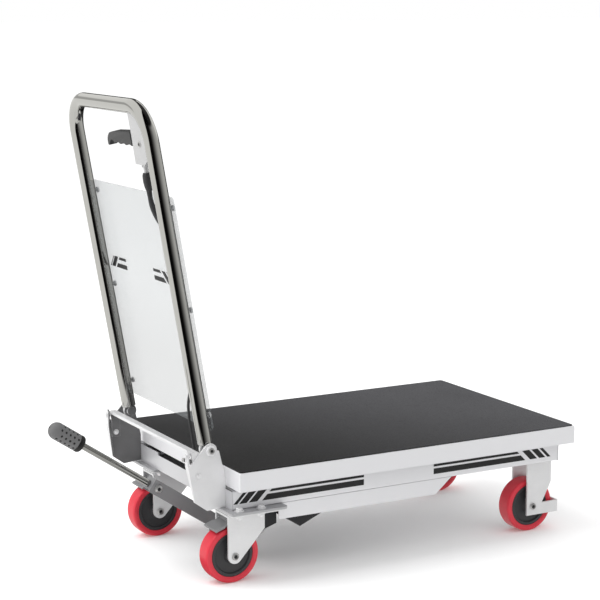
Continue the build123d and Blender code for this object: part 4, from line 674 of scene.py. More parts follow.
class BoltTree:
    """Node tree that puts a through bolt on every point of a mesh."""

    def __init__(self, name, sides):
        self.tree = bpy.data.node_groups.new(name, "GeometryNodeTree")
        self.inputs = self.tree.nodes.new("NodeGroupInput")
        self.add_input("Points", "NodeSocketGeometry")
        self.add_input("Head", "NodeSocketFloat")
        self.add_input("Height", "NodeSocketFloat")
        self.add_input("Washer", "NodeSocketFloat")
        self.add_input("Finish", "NodeSocketMaterial")
        self.tree.interface.new_socket("Bolts", in_out="OUTPUT", socket_type="NodeSocketGeometry")
        self.sides = sides
        self.build()

    def add_input(self, name, kind):
        self.tree.interface.new_socket(name, in_out="INPUT", socket_type=kind)

    def node(self, kind, settings, sockets):
        made = self.tree.nodes.new(kind)
        for name, value in settings.items():
            setattr(made, name, value)
        for key, value in sockets.items():
            if isinstance(value, bpy.types.NodeSocket):
                self.tree.links.new(value, made.inputs[key])
            else:
                made.inputs[key].default_value = value
        return made

    def times(self, first, second):
        return self.node("ShaderNodeMath", {"operation": "MULTIPLY"}, {0: first, 1: second}).outputs[0]

    def attribute(self, name, kind):
        found = self.node("GeometryNodeInputNamedAttribute", {"data_type": kind}, {"Name": name})
        return next(socket for socket in found.outputs if socket.enabled and socket.name == "Attribute")

    def drum(self, radius, depth, lift, sides, taper=1.0):
        """A short cylinder that stands on the level lift, drawn in at its top by taper."""
        top = self.times(radius, taper)
        sockets = {"Vertices": sides, "Radius Top": top, "Radius Bottom": radius, "Depth": depth}
        cone = self.node("GeometryNodeMeshCone", {"fill_type": "NGON"}, sockets)
        move = self.node("ShaderNodeCombineXYZ", {}, {"Z": lift}).outputs[0]
        sockets = {"Geometry": cone.outputs["Mesh"], "Translation": move}
        return self.node("GeometryNodeTransform", {}, sockets).outputs[0]

    def join(self, *parts):
        made = self.tree.nodes.new("GeometryNodeJoinGeometry")
        for part in reversed(parts):
            self.tree.links.new(part, made.inputs[0])
        return made.outputs[0]

    def stretch(self, vector, factor):
        """A vector times a number."""
        sockets = {0: vector, "Scale": factor}
        return self.node("ShaderNodeVectorMath", {"operation": "SCALE"}, sockets).outputs[0]

    def upright(self, direction):
        """The rotation that stands a bolt along a direction."""
        settings = {"axis": "Z"}
        return self.node("FunctionNodeAlignRotationToVector", settings, {"Vector": direction}).outputs[0]

    def build(self):
        """Makes head, nut and shank for a thread of diameter 1, and sets them at each point."""
        round_sides, washer_sides, washer_depth = 20, 28, 0.16
        body_share, crown_share, crown_taper = 0.72, 0.28, 0.8
        shank_radius, tip_length, tip_taper = 0.5, 0.42, 0.86
        given = self.inputs.outputs
        points = given["Points"]
        head_radius = self.times(given["Head"], 0.5)
        washer_radius = self.times(given["Washer"], 0.5)
        body_depth = self.times(given["Height"], body_share)
        crown_depth = self.times(given["Height"], crown_share)
        sockets = {0: body_depth, 1: washer_depth}
        crown_lift = self.node("ShaderNodeMath", {"operation": "ADD"}, sockets).outputs[0]
        head = self.join(
            self.drum(washer_radius, washer_depth, 0.0, washer_sides),
            self.drum(head_radius, body_depth, washer_depth, self.sides),
            self.drum(head_radius, crown_depth, crown_lift, self.sides, crown_taper),
        )
        tip = self.drum(shank_radius, tip_length, crown_lift, round_sides, tip_taper)
        nut = self.join(head, tip)
        shank = self.drum(shank_radius, 1.0, -1.0, round_sides)
        axis = self.attribute("axis", "FLOAT_VECTOR")
        size = self.attribute("size", "FLOAT")
        span = self.attribute("span", "FLOAT")
        back = self.stretch(axis, -1.0)
        outwards, inwards = self.upright(axis), self.upright(back)
        sockets = {"Geometry": points, "Offset": self.stretch(back, span)}
        far = self.node("GeometryNodeSetPosition", {}, sockets).outputs[0]
        sockets = {"X": size, "Y": size, "Z": span}
        shank_scale = self.node("ShaderNodeCombineXYZ", {}, sockets).outputs[0]
        bolts = self.join(
            self.set_on(points, head, outwards, size),
            self.set_on(far, nut, inwards, size),
            self.set_on(points, shank, outwards, shank_scale),
        )
        real = self.node("GeometryNodeRealizeInstances", {}, {"Geometry": bolts}).outputs[0]
        sockets = {"Geometry": real, "Material": given["Finish"]}
        dressed = self.node("GeometryNodeSetMaterial", {}, sockets).outputs[0]
        output = self.tree.nodes.new("NodeGroupOutput")
        self.tree.links.new(dressed, output.inputs[0])

    def set_on(self, points, shape, rotation, scale):
        sockets = {"Points": points, "Instance": shape, "Rotation": rotation, "Scale": scale}
        return self.node("GeometryNodeInstanceOnPoints", {}, sockets).outputs[0]


def add_bolts(name, bolts, sides=6):
    """One piece of through bolts.

    Each is its seat, the way its head points, its thread's diameter and its span."""
    sizes = bpy.context.scene.cart_bolts
    seats = bpy.data.meshes.new(f"{name}_seats")
    seats.from_pydata([bolt[0] for bolt in bolts], [], [])
    for key, kind, field, numbers in (
        ("axis", "FLOAT_VECTOR", "vector", [part for bolt in bolts for part in bolt[1]]),
        ("size", "FLOAT", "value", [bolt[2] for bolt in bolts]),
        ("span", "FLOAT", "value", [bolt[3] for bolt in bolts]),
    ):
        seats.attributes.new(key, kind, "POINT").data.foreach_set(field, numbers)
    carrier = bpy.data.objects.new(f"{name}_seats", seats)
    bpy.context.scene.collection.objects.link(carrier)
    tree = BoltTree(f"{name}_tree", sides).tree
    modifier = carrier.modifiers.new("bolts", "NODES")
    modifier.node_group = tree
    values = {
        "Head": sizes.head,
        "Height": sizes.height,
        "Washer": sizes.washer,
        "Finish": finish_named("bright_zinc"),
    }
    for item in tree.interface.items_tree:
        if item.in_out == "INPUT" and item.name in values:
            modifier[item.identifier] = values[item.name]
    evaluated = carrier.evaluated_get(bpy.context.evaluated_depsgraph_get())
    data = bpy.data.meshes.new_from_object(evaluated)
    data.name = name
    bpy.data.objects.remove(carrier)
    return add_mesh(name, data, "bright_zinc", 30)


def add_recess_shades(name, seats, body):
    """Flat black six-sided discs in the heads of bolts, painted shade standing for their recesses.

    Each seat is a place, the way the head faces and the recess's radius."""
    below, above = -0.1 * MM, 0.2 * MM
    mesh = bmesh.new()
    for place, axis, radius in seats:
        outline = [(below, CORE), (below, radius), (above, radius), (above, CORE)]
        turn(mesh, outline, place, axis, 6)
    sockets = add_piece(name, mesh, "black_paint", 35)
    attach(sockets, body)


# Operators, one for each piece or group of like pieces


class CART_OT_sheet_metal(bpy.types.Operator):
    """Finish the platform tray, the rails, the frame plates and the scissor"""

    bl_idname = "cart.sheet_metal"
    bl_label = "Sheet metal and scissor"

    def execute(self, context):
        paint_nodes("silver_paint", "platform_tray", "platform_tracks", "base_rail_left", "base_rail_right")
        paint_nodes("silver_paint", "base_skirts")
        # The cross plates carry painted shade where they face into the frame
        paint_nodes("silver_shaded_inside", "base_cross_plates")
        # The pump bed and the caster ledges take the shaded copy of the silver paint, as painted shade
        paint_nodes("shaded_copy_silver", "pump_bed", "rear_caster_ledges")
        paint_nodes("silver_paint", "outer_arms", "inner_arms", "inner_tie_bar")
        # The cheeks and their tie bar take the zinc with painted shade on their inner faces
        paint_nodes("cheek_zinc", "handle_cheek_left", "handle_cheek_right", "cheek_tie_bar")
        paint_nodes("machined_steel", "upper_roller_shaft", "upper_rollers")
        paint_nodes("machined_steel", "lower_roller_shaft", "lower_rollers")
        paint_nodes("machined_steel", "arm_centre_pins", "base_pivot_pins", "platform_pivot_pins")
        paint_nodes("deck_rubber", "platform_mat")
        return {"FINISHED"}


class CART_OT_hydraulics(bpy.types.Operator):
    """Finish the pump, the oil tank, the cylinder and the release valve"""

    bl_idname = "cart.hydraulics"
    bl_label = "Hydraulics"

    def execute(self, context):
        paint_nodes("black_paint", "pump_block", "oil_reservoir", "cylinder_barrel")
        paint_nodes("polished_chrome", "cylinder_rod")
        paint_nodes("machined_steel", "pump_plunger", "valve_arm")
        return {"FINISHED"}


class CART_OT_casters(bpy.types.Operator):
    """Make the four wheels and finish the forks, caster heads and brake pedals"""

    bl_idname = "cart.casters"
    bl_label = "Casters and brakes"

    def execute(self, context):
        sizes = context.scene.cart_wheels
        for wheel in WHEELS:
            self.make_tyre(wheel, sizes)
            self.make_hub(wheel, sizes)
        for name in SIDES:
            paint_nodes("bright_zinc", f"rear_fork_{name}", f"front_fork_{name}")
            self.make_axle(f"rear_{name}", f"rear_caster_{name}", f"rear_axle_bolt_{name}")
            self.make_axle(f"front_{name}", "base", "base_fasteners")
            paint_nodes("dark_grey_paint", f"brake_pedal_{name}")
        paint_nodes("bright_zinc", "rear_caster_heads")
        return {"FINISHED"}

    def make_tyre(self, wheel, sizes):
        low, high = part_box(f"tyre_{wheel}")
        hub_low, hub_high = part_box(f"hub_{wheel}")
        half_width = (high.y - low.y) / 2
        radius = (high.z - low.z) / 2
        bore = (hub_high.z - hub_low.z) / 2
        ledge = bore + 2 * sizes.side_step
        section = [
            (-half_width + sizes.side_step, bore),
            (-half_width + sizes.side_step, ledge),
            (-half_width, ledge + sizes.side_step),
            (-half_width, radius - 0.4 * sizes.shoulder),
            (-half_width + sizes.shoulder, radius),
            (half_width - sizes.shoulder, radius),
            (half_width, radius - 0.4 * sizes.shoulder),
            (half_width, ledge + sizes.side_step),
            (half_width - sizes.side_step, ledge),
            (half_width - sizes.side_step, bore),
        ]
        mesh = bmesh.new()
        turn(mesh, rounded(section, 0.6 * sizes.shoulder, 4), (low + high) / 2, ACROSS, 128)
        tyre = add_piece(f"wheel_tread_{wheel}", mesh, "red_polyurethane", 30)
        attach(tyre, f"wheel_{wheel}")
        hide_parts(f"tyre_{wheel}")

    def make_axle(self, wheel, body, node):
        """A rivet through the fork, with a flat round head and a sunk middle at each end."""
        low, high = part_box("rear_axle_bolt_left")
        half = (high.y - low.y) / 2
        head_radius = (high.z - low.z) / 2
        head, shank, chamfer = 4 * MM, 5 * MM, 1.6 * MM
        sunk, recess, draft, core = 4 * MM, 3.2 * MM, 0.4 * MM, 0.02 * MM
        end = [
            (half - recess, core),
            (half - recess, sunk - draft),
            (half, sunk),
            (half, head_radius - chamfer),
            (half - chamfer, head_radius),
            (half - head, head_radius),
            (half - head, shank),
        ]
        section = end + [(-along, out) for along, out in reversed(end)]
        mesh = bmesh.new()
        centre = Vector(joints[f"wheel_{wheel}"]["pos_m"])
        turn(mesh, rounded(section, 0.7 * MM), centre, ACROSS, 40)
        axle = add_piece(f"axle_{wheel}", mesh, "machined_steel", 35)
        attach(axle, body)
        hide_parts(node)
        # Flat black discs in the sunk middles, as painted shade
        seats = both_faces(centre, ACROSS, half - recess + 0.1 * MM, sunk - 0.6 * MM)
        add_recess_shades(f"axle_recess_shades_{wheel}", seats, body)

    def make_hub(self, wheel, sizes):
        low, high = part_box(f"hub_{wheel}")
        tyre_low, tyre_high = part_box(f"tyre_{wheel}")
        half_boss = (high.y - low.y) / 2
        half_rim = (tyre_high.y - tyre_low.y) / 2 - 1.5 * sizes.side_step
        radius = (high.z - low.z) / 2
        bore, dish = 5.05 * MM, 3.5 * MM
        cap_slope, cap_edge, cap_draft, rim_draft = 3 * MM, 2 * MM, 1 * MM, 1.5 * MM
        web = half_rim - dish
        rim = radius - sizes.rim_width
        half = [
            (half_boss, bore),
            (half_boss, sizes.cap_radius - cap_slope),
            (half_boss - cap_edge, sizes.cap_radius),
            (web, sizes.cap_radius + cap_draft),
            (web, rim),
            (half_rim, rim + rim_draft),
            (half_rim, radius),
        ]
        section = [(-along, out) for along, out in half] + half[::-1]
        mesh = bmesh.new()
        turn(mesh, rounded(section, 0.9 * MM, 3), (low + high) / 2, ACROSS, 96)
        hub = add_piece(f"wheel_hub_{wheel}", mesh, "hub_moulding", 35)
        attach(hub, f"wheel_{wheel}")
        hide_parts(f"hub_{wheel}")


class CART_OT_handle(bpy.types.Operator):
    """Finish the handle tube, its leaves and the clear panel"""

    bl_idname = "cart.handle"
    bl_label = "Handle and panel"

    def execute(self, context):
        self.make_tube()
        self.make_cable_rings()
        paint_nodes("bright_zinc", "panel_bolts")
        # The leaves and pivot bolts take the zinc with painted shade on their inner faces
        paint_nodes("cheek_zinc", "handle_leaves", "handle_pivot_bolts")
        paint_nodes("cast_zinc", "lever_bracket")
        paint_nodes("frosted_sheet", "handle_panel")
        paint_nodes("machined_steel", "latch_pawl")
        self.make_pivot_heads()
        return {"FINISHED"}

    def make_tube(self):
        low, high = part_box("handle_tube")
        radius, wall, bend = 12.5 * MM, 2 * MM, 60 * MM
        half_width = (high.y - low.y) / 2 - radius
        foot = (low.z + radius * handle_ahead.z - handle_pivot.z) / handle_up.z
        top = (high.z - radius - handle_pivot.z) / handle_up.z
        bend_steps = 32
        line = [(-half_width, foot)]
        for corner, start_angle in ((-half_width + bend, 180), (half_width - bend, 90)):
            for step in range(bend_steps + 1):
                angle = radians(start_angle - 90 * step / bend_steps)
                line.append((corner + bend * cos(angle), top - bend + bend * sin(angle)))
        line.append((half_width, foot))
        places = [on_handle(y, along) for y, along in line]
        mesh = bmesh.new()
        tube(mesh, places, [radius] * len(places), 72, closed=False)
        tube(mesh, places, [radius - wall] * len(places), 48, closed=False)
        for end in (places[0], places[-1]):
            flat_ring(mesh, end, handle_up, radius - wall, radius, 72)
        piece = add_piece("chrome_tube", mesh, "polished_chrome", 60, outwards=False)
        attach(piece, "handle")
        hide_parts("handle_tube")

    def make_pivot_heads(self):
        """The small raised rings on the heads of the pivot bolts, and flat black discs inside them as
        painted shade of their recesses.
        """
        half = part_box("handle_pivot_bolts")[1].y
        mesh = bmesh.new()
        add_rivet(mesh, handle_pivot, ACROSS, half, 5.6 * MM, 2.8 * MM)
        rings = add_piece("pivot_rings", mesh, "machined_steel", 35)
        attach(rings, "base")
        add_recess_shades("pivot_recess_shades", both_faces(handle_pivot, ACROSS, half + 0.2 * MM, 2.6 * MM), "base")

    def make_cable_rings(self):
        """Rubber rings in the two holes where the cable enters and leaves the tube."""
        holes = ((-148.5, 380.5), (-148.6, 109))
        bore, rim, lip, inner_end, outer_end = 3.0 * MM, 6.4 * MM, 5.6 * MM, -1.2 * MM, 2.0 * MM
        section = [(inner_end, bore), (inner_end, rim), (outer_end, lip), (outer_end, bore)]
        mesh = bmesh.new()
        for y, along in holes:
            turn(mesh, rounded(section, 0.8 * MM), on_handle(y * MM, along * MM), ACROSS, 36)
        rings = add_piece("cable_rings", mesh, "soft_rubber")
        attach(rings, "handle")


class CART_OT_release(bpy.types.Operator):
    """Make the release lever, the cable's boot and the lower cable"""

    bl_idname = "cart.release"
    bl_label = "Release lever and cable"

    def execute(self, context):
        self.make_lever()
        self.make_boot()
        self.make_lower_cable()
        self.make_lever_pin()
        paint_nodes("soft_rubber", "release_cable")
        return {"FINISHED"}

    def make_lever_pin(self):
        """The rivet on which the lever turns, seen on both faces of its bracket."""
        half, radius, sunk = 8 * MM, 5.2 * MM, 3.2 * MM
        centre = Vector(joints["release_squeeze"]["pos_m"])
        mesh = bmesh.new()
        add_rivet(mesh, centre, handle_ahead, half, radius, sunk)
        pin = add_piece("lever_pin", mesh, "machined_steel", 35)
        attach(pin, "handle")
        # Flat black discs in the sunk middles, as painted shade
        seats = both_faces(centre, handle_ahead, half + 0.2 * MM, sunk)
        add_recess_shades("lever_pin_recess_shades", seats, "handle")

    def make_lever(self):
        pivot = Vector(joints["release_squeeze"]["pos_m"])
        reach, grip_start = 136 * MM, 34 * MM
        rise, tip_rise, under, hook = 18 * MM, 12 * MM, 6 * MM, 10.5 * MM
        notches = (6.5 * MM, 3.4 * MM, 2.8 * MM, 2.8 * MM)
        notch_end = reach - 6 * MM
        notch_width = (notch_end - grip_start) / len(notches)
        notch_steps = 8
        top = [
            (reach + 0.5 * MM, -hook + 2 * MM),
            (reach - 1 * MM, 0),
            (reach - 6 * MM, tip_rise - 5 * MM),
            (reach - 14 * MM, tip_rise),
            (reach - 30 * MM, tip_rise + 3 * MM),
            (grip_start + 34 * MM, rise - 1 * MM),
            (grip_start, rise),
        ]
        below = [(grip_start, -under)]
        for n, depth in reversed(list(enumerate(notches))):
            start = notch_end - (n + 1) * notch_width
            drop = (hook - under) if n == 0 else 0.0
            for step in range(1, notch_steps + 1):
                share = step / notch_steps
                level = -under - drop * share**3 + depth * sin(pi * share)
                below.append((start + share * notch_width, level))
        below.append((reach - 2 * MM, -hook - 0.5 * MM))

        def place(u, v, level):
            return pivot + Vector((0, u, 0)) + handle_up * v + handle_ahead * level

        mesh = bmesh.new()
        half_grip, half_neck, boss = 7.4 * MM, 4.9 * MM, 11 * MM
        prism(mesh, rounded(top + below, 1.2 * MM, 2), place, -half_grip, half_grip, 2.2 * MM)
        neck = [(boss * cos(a), boss * sin(a)) for a in [radians(90 + 18 * n) for n in range(11)]]
        neck += [
            (grip_start + 2 * MM, -under + 1 * MM),
            (grip_start + 2 * MM, rise - 1 * MM),
            (grip_start - boss, rise),
        ]
        prism(mesh, neck, place, -half_neck, half_neck, 0.6 * MM)
        lever = add_piece("lever_grip", mesh, "lever_moulding", 50)
        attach(lever, "lever")
        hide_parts("release_lever")

    def make_boot(self):
        """A sleeve that swells below the lever and narrows along the cable into the tube.

        The route is across and along the handle; each stop is a share of it with the radius there."""
        route = [(-117, 474), (-117, 462), (-115, 448), (-113, 434)]
        route += [(-115, 417), (-126, 397), (-143, 385), (-150, 378)]
        stops = [(0.0, 6.4), (0.03, 8.0), (0.12, 8.2), (0.22, 7.0), (0.32, 4.6)]
        stops += [(0.44, 4.0), (0.58, 4.7), (0.8, 3.6), (1.0, 3.2)]
        places = smooth_route([on_handle(y * MM, along * MM) for y, along in route])
        radii = []
        for n in range(len(places)):
            share = n / (len(places) - 1)
            for (start, low), (end, high) in zip(stops, stops[1:]):
                if start <= share <= end:
                    radius = low + (high - low) * (share - start) / (end - start)
            radii.append(radius * MM)
        mesh = bmesh.new()
        tube(mesh, places, radii, 28)
        boot = add_piece("boot_sleeve", mesh, "soft_rubber", 50)
        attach(boot, "handle")
        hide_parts("cable_boot")

    def make_lower_cable(self):
        """The cable from the tube past the pivot and under the frame's end to the valve, in two lengths."""
        start = on_handle(-138 * MM, 98 * MM)
        bend = on_handle(-149 * MM, 110 * MM)
        route = [
            start,
            start + (start - bend) * 1.5,
            handle_pivot + Vector((-10, -115, 48)) * MM,
            handle_pivot + Vector((-3, -113, 10)) * MM,
            handle_pivot + Vector((5, -110, -28)) * MM,
            Vector((-0.236, -0.104, 0.180)),
            Vector((-0.232, -0.0958, 0.152)),
            Vector((-0.217, -0.0898, 0.130)),
            Vector((-0.192, -0.0858, 0.128)),
            Vector((-0.1685, -0.0838, 0.136)),
            Vector((-0.1485, -0.0838, 0.138)),
        ]
        places = smooth_route(route)
        cut = len(places) * 3 // 4
        below, above = handle_pivot - UP * 30 * MM, handle_pivot + UP * 60 * MM
        self.add_cable("lower_cable", places[: cut + 1], "handle", below, above)
        self.add_cable("valve_cable", places[cut:], "valve", places[cut + 2], places[-4])

    def add_cable(self, name, places, far_body, start, end):
        """A length of cable through the given places."""
        cable_radius = 2.5 * MM
        mesh = bmesh.new()
        tube(mesh, places, [cable_radius] * len(places), 16)
        cable = add_piece(name, mesh, "soft_rubber", 60)
        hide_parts("release_cable_loop")
        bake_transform(cable)


class CART_OT_pedal(bpy.types.Operator):
    """Make the pedal's dimpled grip and finish its channel and rod"""

    bl_idname = "cart.pedal"
    bl_label = "Foot pedal"

    def execute(self, context):
        paint_nodes("dark_grey_paint", "pedal_channel")
        # The pedal rod takes the darker copy of the chrome, as painted shade
        paint_nodes("shaded_chrome", "pedal_rod")
        self.make_grip(context.scene.cart_grip)
        self.make_bolt()
        return {"FINISHED"}

    def make_bolt(self):
        """Round caps with washers over the ends of the bolt that holds the rod."""
        low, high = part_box("pedal_channel")
        head_height, washer, cap, washer_top = 4 * MM, 6.8 * MM, 6.4 * MM, 1.2 * MM
        crown, crown_slope, recess_radius, bolt_place = 1.6 * MM, 1.8 * MM, 3.8 * MM, 144 * MM
        foot, floor = -0.1 * MM, head_height + 0.3 * MM
        outline = [
            (foot, CORE),
            (foot, washer),
            (washer_top, washer),
            (washer_top, cap),
            (head_height, cap),
            (head_height + crown, cap - crown_slope),
            (head_height + crown, recess_radius),
            (floor, recess_radius - 0.2 * MM),
            (floor, CORE),
        ]
        mesh = bmesh.new()
        seats = []
        for side, face in ((1, high.y), (-1, low.y)):
            axis = ACROSS * side
            seat = pedal_pivot + pedal_out * bolt_place
            seat.y = face
            turn(mesh, outline, seat - axis * head_height, axis, 40)
            seats.append((seat + axis * 0.4 * MM, axis, recess_radius - 0.3 * MM))
        bolt = add_piece("pedal_bolt", mesh, "machined_steel", 35)
        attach(bolt, "pedal")
        # Flat black discs in the caps' recesses, as painted shade
        add_recess_shades("pedal_recess_shades", seats, "pedal")

    def make_grip(self, sizes):
        low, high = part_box("pedal_grip")
        radius = (high.y - low.y) / 2
        rod_radius = (rod_high.y - rod_low.y) / 2
        round_end = (pedal_pivot.x - low.x - radius) / -pedal_out.x
        start = round_end - sizes.straight
        sleeve_start = start + sizes.flange
        sleeve_rings = 120
        sleeve_length = round_end - sleeve_start
        edge = 1 * MM
        pitch = (sleeve_length - edge) / sleeve_rings
        outline = [
            (sleeve_start, rod_radius),
            (sleeve_start, radius - 1.2 * MM),
            (sleeve_start + edge / 2, radius - 0.3 * MM),
        ]
        outline += [(sleeve_start + edge + pitch * n, radius) for n in range(sleeve_rings + 1)]
        angles = [radians(6 * n) for n in range(1, 15)]
        outline += [(round_end + radius * sin(a), radius * cos(a)) for a in angles]
        mesh = bmesh.new()
        turn(mesh, outline, pedal_pivot, pedal_out, 120)
        self.press_dimples(mesh, sizes, sleeve_start, sleeve_length, radius)
        self.add_grip_piece("grip_sleeve", mesh, "grip_rubber")
        flange = [
            (start + 3 * MM, rod_radius),
            (start + 2 * MM, rod_radius + 3 * MM),
            (start, radius - 3.5 * MM),
            (start + 0.6 * MM, radius - 1.2 * MM),
            (start + 2.6 * MM, radius),
            (sleeve_start - 3 * MM, radius),
            (sleeve_start - 2 * MM, radius - sizes.groove),
            (sleeve_start - 0.05 * MM, radius - sizes.groove),
            (sleeve_start - 0.05 * MM, rod_radius),
        ]
        mesh = bmesh.new()
        turn(mesh, rounded(flange, 0.6 * MM), pedal_pivot, pedal_out, 72)
        self.add_grip_piece("grip_collar", mesh, "collar_rubber")

    def add_grip_piece(self, name, mesh, finish_name):
        piece = add_piece(name, mesh, finish_name, 50)
        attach(piece, "pedal")
        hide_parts("pedal_grip")

    def press_dimples(self, mesh, sizes, start, length, radius):
        """Sinks staggered rings of round dimples into the sleeve and notes how deep each point went, for
        painted shade in the dimples.
        """
        side = pedal_out.orthogonal().normalized()
        other = pedal_out.cross(side)
        hollow = mesh.verts.layers.float.new("hollow")
        for n in range(sizes.rows):
            along = start + length * (n + 1) / (sizes.rows + 0.5)
            for k in range(sizes.columns):
                angle = 2 * pi * (k + 0.5 * (n % 2)) / sizes.columns
                out = side * cos(angle) + other * sin(angle)
                middle = pedal_pivot + pedal_out * along + out * radius
                for vertex in mesh.verts:
                    away = (vertex.co - middle).length / sizes.dimple_radius
                    if away < 1:
                        vertex[hollow] = 1 - away**4
                        vertex.co -= out * sizes.dimple_depth * (1 - away**4)


class CART_OT_fasteners(bpy.types.Operator):
    """Make the bolts of the caster heads, the tie bar and the cheeks' rear tabs"""

    bl_idname = "cart.fasteners"
    bl_label = "Fasteners"

    def execute(self, context):
        low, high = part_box("rear_caster_ledges")
        head_plate, thread = 3 * MM, 8 * MM
        inset, first, pitch, width = 13 * MM, 21 * MM, 41.5 * MM, 122 * MM
        span = high.z - (low.z - head_plate)
        caster_bolts = []
        for side in SIDES.values():
            for y in (high.y - inset, high.y - width + inset):
                for x in (low.x + first, low.x + first + pitch):
                    caster_bolts.append((Vector((x, side * y, high.z)), UP, thread, span))
        bolts = add_bolts("caster_bolts", caster_bolts)
        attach(bolts, "base")
        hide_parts("base_fasteners")
        self.make_round_bolts()
        return {"FINISHED"}

    def make_round_bolts(self):
        """The bolts of the tie bar's ends and of the cheeks' rear tabs."""
        low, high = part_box("handle_cheek_left")
        tie_span, tie_thread = 6 * MM, 5 * MM
        tab_sheet, tab_thread, tab_drop = 3 * MM, 4.5 * MM, 6 * MM
        tie_bolt = handle_pivot + Vector((-23, 0, -41)) * MM
        tab_y = (low.y + high.y - tab_sheet) / 2
        bolts = []
        for side in SIDES.values():
            seat = Vector((tie_bolt.x, side * high.y, tie_bolt.z))
            bolts.append((seat, ACROSS * side, tie_thread, tie_span))
            tab = Vector((low.x, side * tab_y, handle_pivot.z - tab_drop))
            bolts.append((tab, Vector((-1, 0, 0)), tab_thread, tab_sheet))
        piece = add_bolts("tie_bolts", bolts, 24)
        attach(piece, "base")
        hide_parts("base_fasteners")


class CART_OT_stripes(bpy.types.Operator):
    """Print the stripes on the base rails and on the handle's panel"""

    bl_idname = "cart.stripes"
    bl_label = "Stripes"

    def execute(self, context):
        sizes = context.scene.cart_stripes
        for name, side in SIDES.items():
            self.stripe_rail(name, side, sizes)
        self.stripe_panel(sizes)
        return {"FINISHED"}

    def band(self, low, heights, ends, bars):
        """Outlines of one band: slanted bars at an end, then a thick and a thin stripe to the middle.

        heights are those of the band and of the thick and the thin stripe, ends where the stripes start
        and stop and the way towards the middle, and bars the foot and width of each slanted bar."""
        height, thick, thin = heights
        start, stop, way = ends
        top = low + height
        spans = [(foot, foot + way * width) for foot, width in bars]
        slant = way * height
        outlines = [[(a, low), (b, low), (b + slant, top), (a + slant, top)] for a, b in spans]
        for foot, head in ((0, thick), (height - thin, height)):
            outlines.append([
                (start + way * foot, low + foot),
                (stop, low + foot),
                (stop, low + head),
                (start + way * head, low + head),
            ])
        return outlines

    def stripe_rail(self, name, side, sizes):
        """Two bands on a rail's outer face, given in millimetres from the deck's middle."""
        low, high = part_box(f"base_rail_{name}")
        deck_low, deck_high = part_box("platform_tray")
        deck_x = (deck_low.x + deck_high.x) / 2
        face = high.y if side > 0 else low.y
        heights = (sizes.rail_band, sizes.thick, sizes.thin)
        bands = (
            (-295, -93, 1, ((-350, 7.4), (-339, 14.4), (-320.5, 16.2))),
            (255, 53, -1, ((313, 7.4), (301, 14.0), (282, 16.0))),
        )

        def place(u, v, level):
            return Vector((u, face + side * level, v))

        mesh = bmesh.new()
        for start, stop, way, bars in bands:
            ends = (deck_x + start * MM, deck_x + stop * MM, way)
            bars = [(deck_x + foot * MM, width * MM) for foot, width in bars]
            for outline in self.band(low.z + sizes.rail_low, heights, ends, bars):
                prism(mesh, outline, place, 0.0, sizes.film)
        stripes = add_piece(f"rail_stripes_{name}", mesh, "stripe_film")
        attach(stripes, "base")

    def stripe_panel(self, sizes):
        """Two bands on the panel's rear face, given in millimetres across from the handle's middle."""
        back = 12.55 * MM
        heights = (sizes.panel_band, 8.2 * MM, 5.2 * MM)
        bands = (
            (124, 76, -1, ((151, 3), (145, 15))),
            (-89, -41, 1, ((-129, 13), (-110, 14))),
        )

        def place(u, v, level):
            return on_handle(u, v, back - level)

        mesh = bmesh.new()
        for start, stop, way, bars in bands:
            ends = (start * MM, stop * MM, way)
            bars = [(foot * MM, width * MM) for foot, width in bars]
            for outline in self.band(sizes.panel_low, heights, ends, bars):
                prism(mesh, outline, place, 0.0, sizes.film)
        stripes = add_piece("panel_stripes", mesh, "stripe_film")
        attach(stripes, "handle")


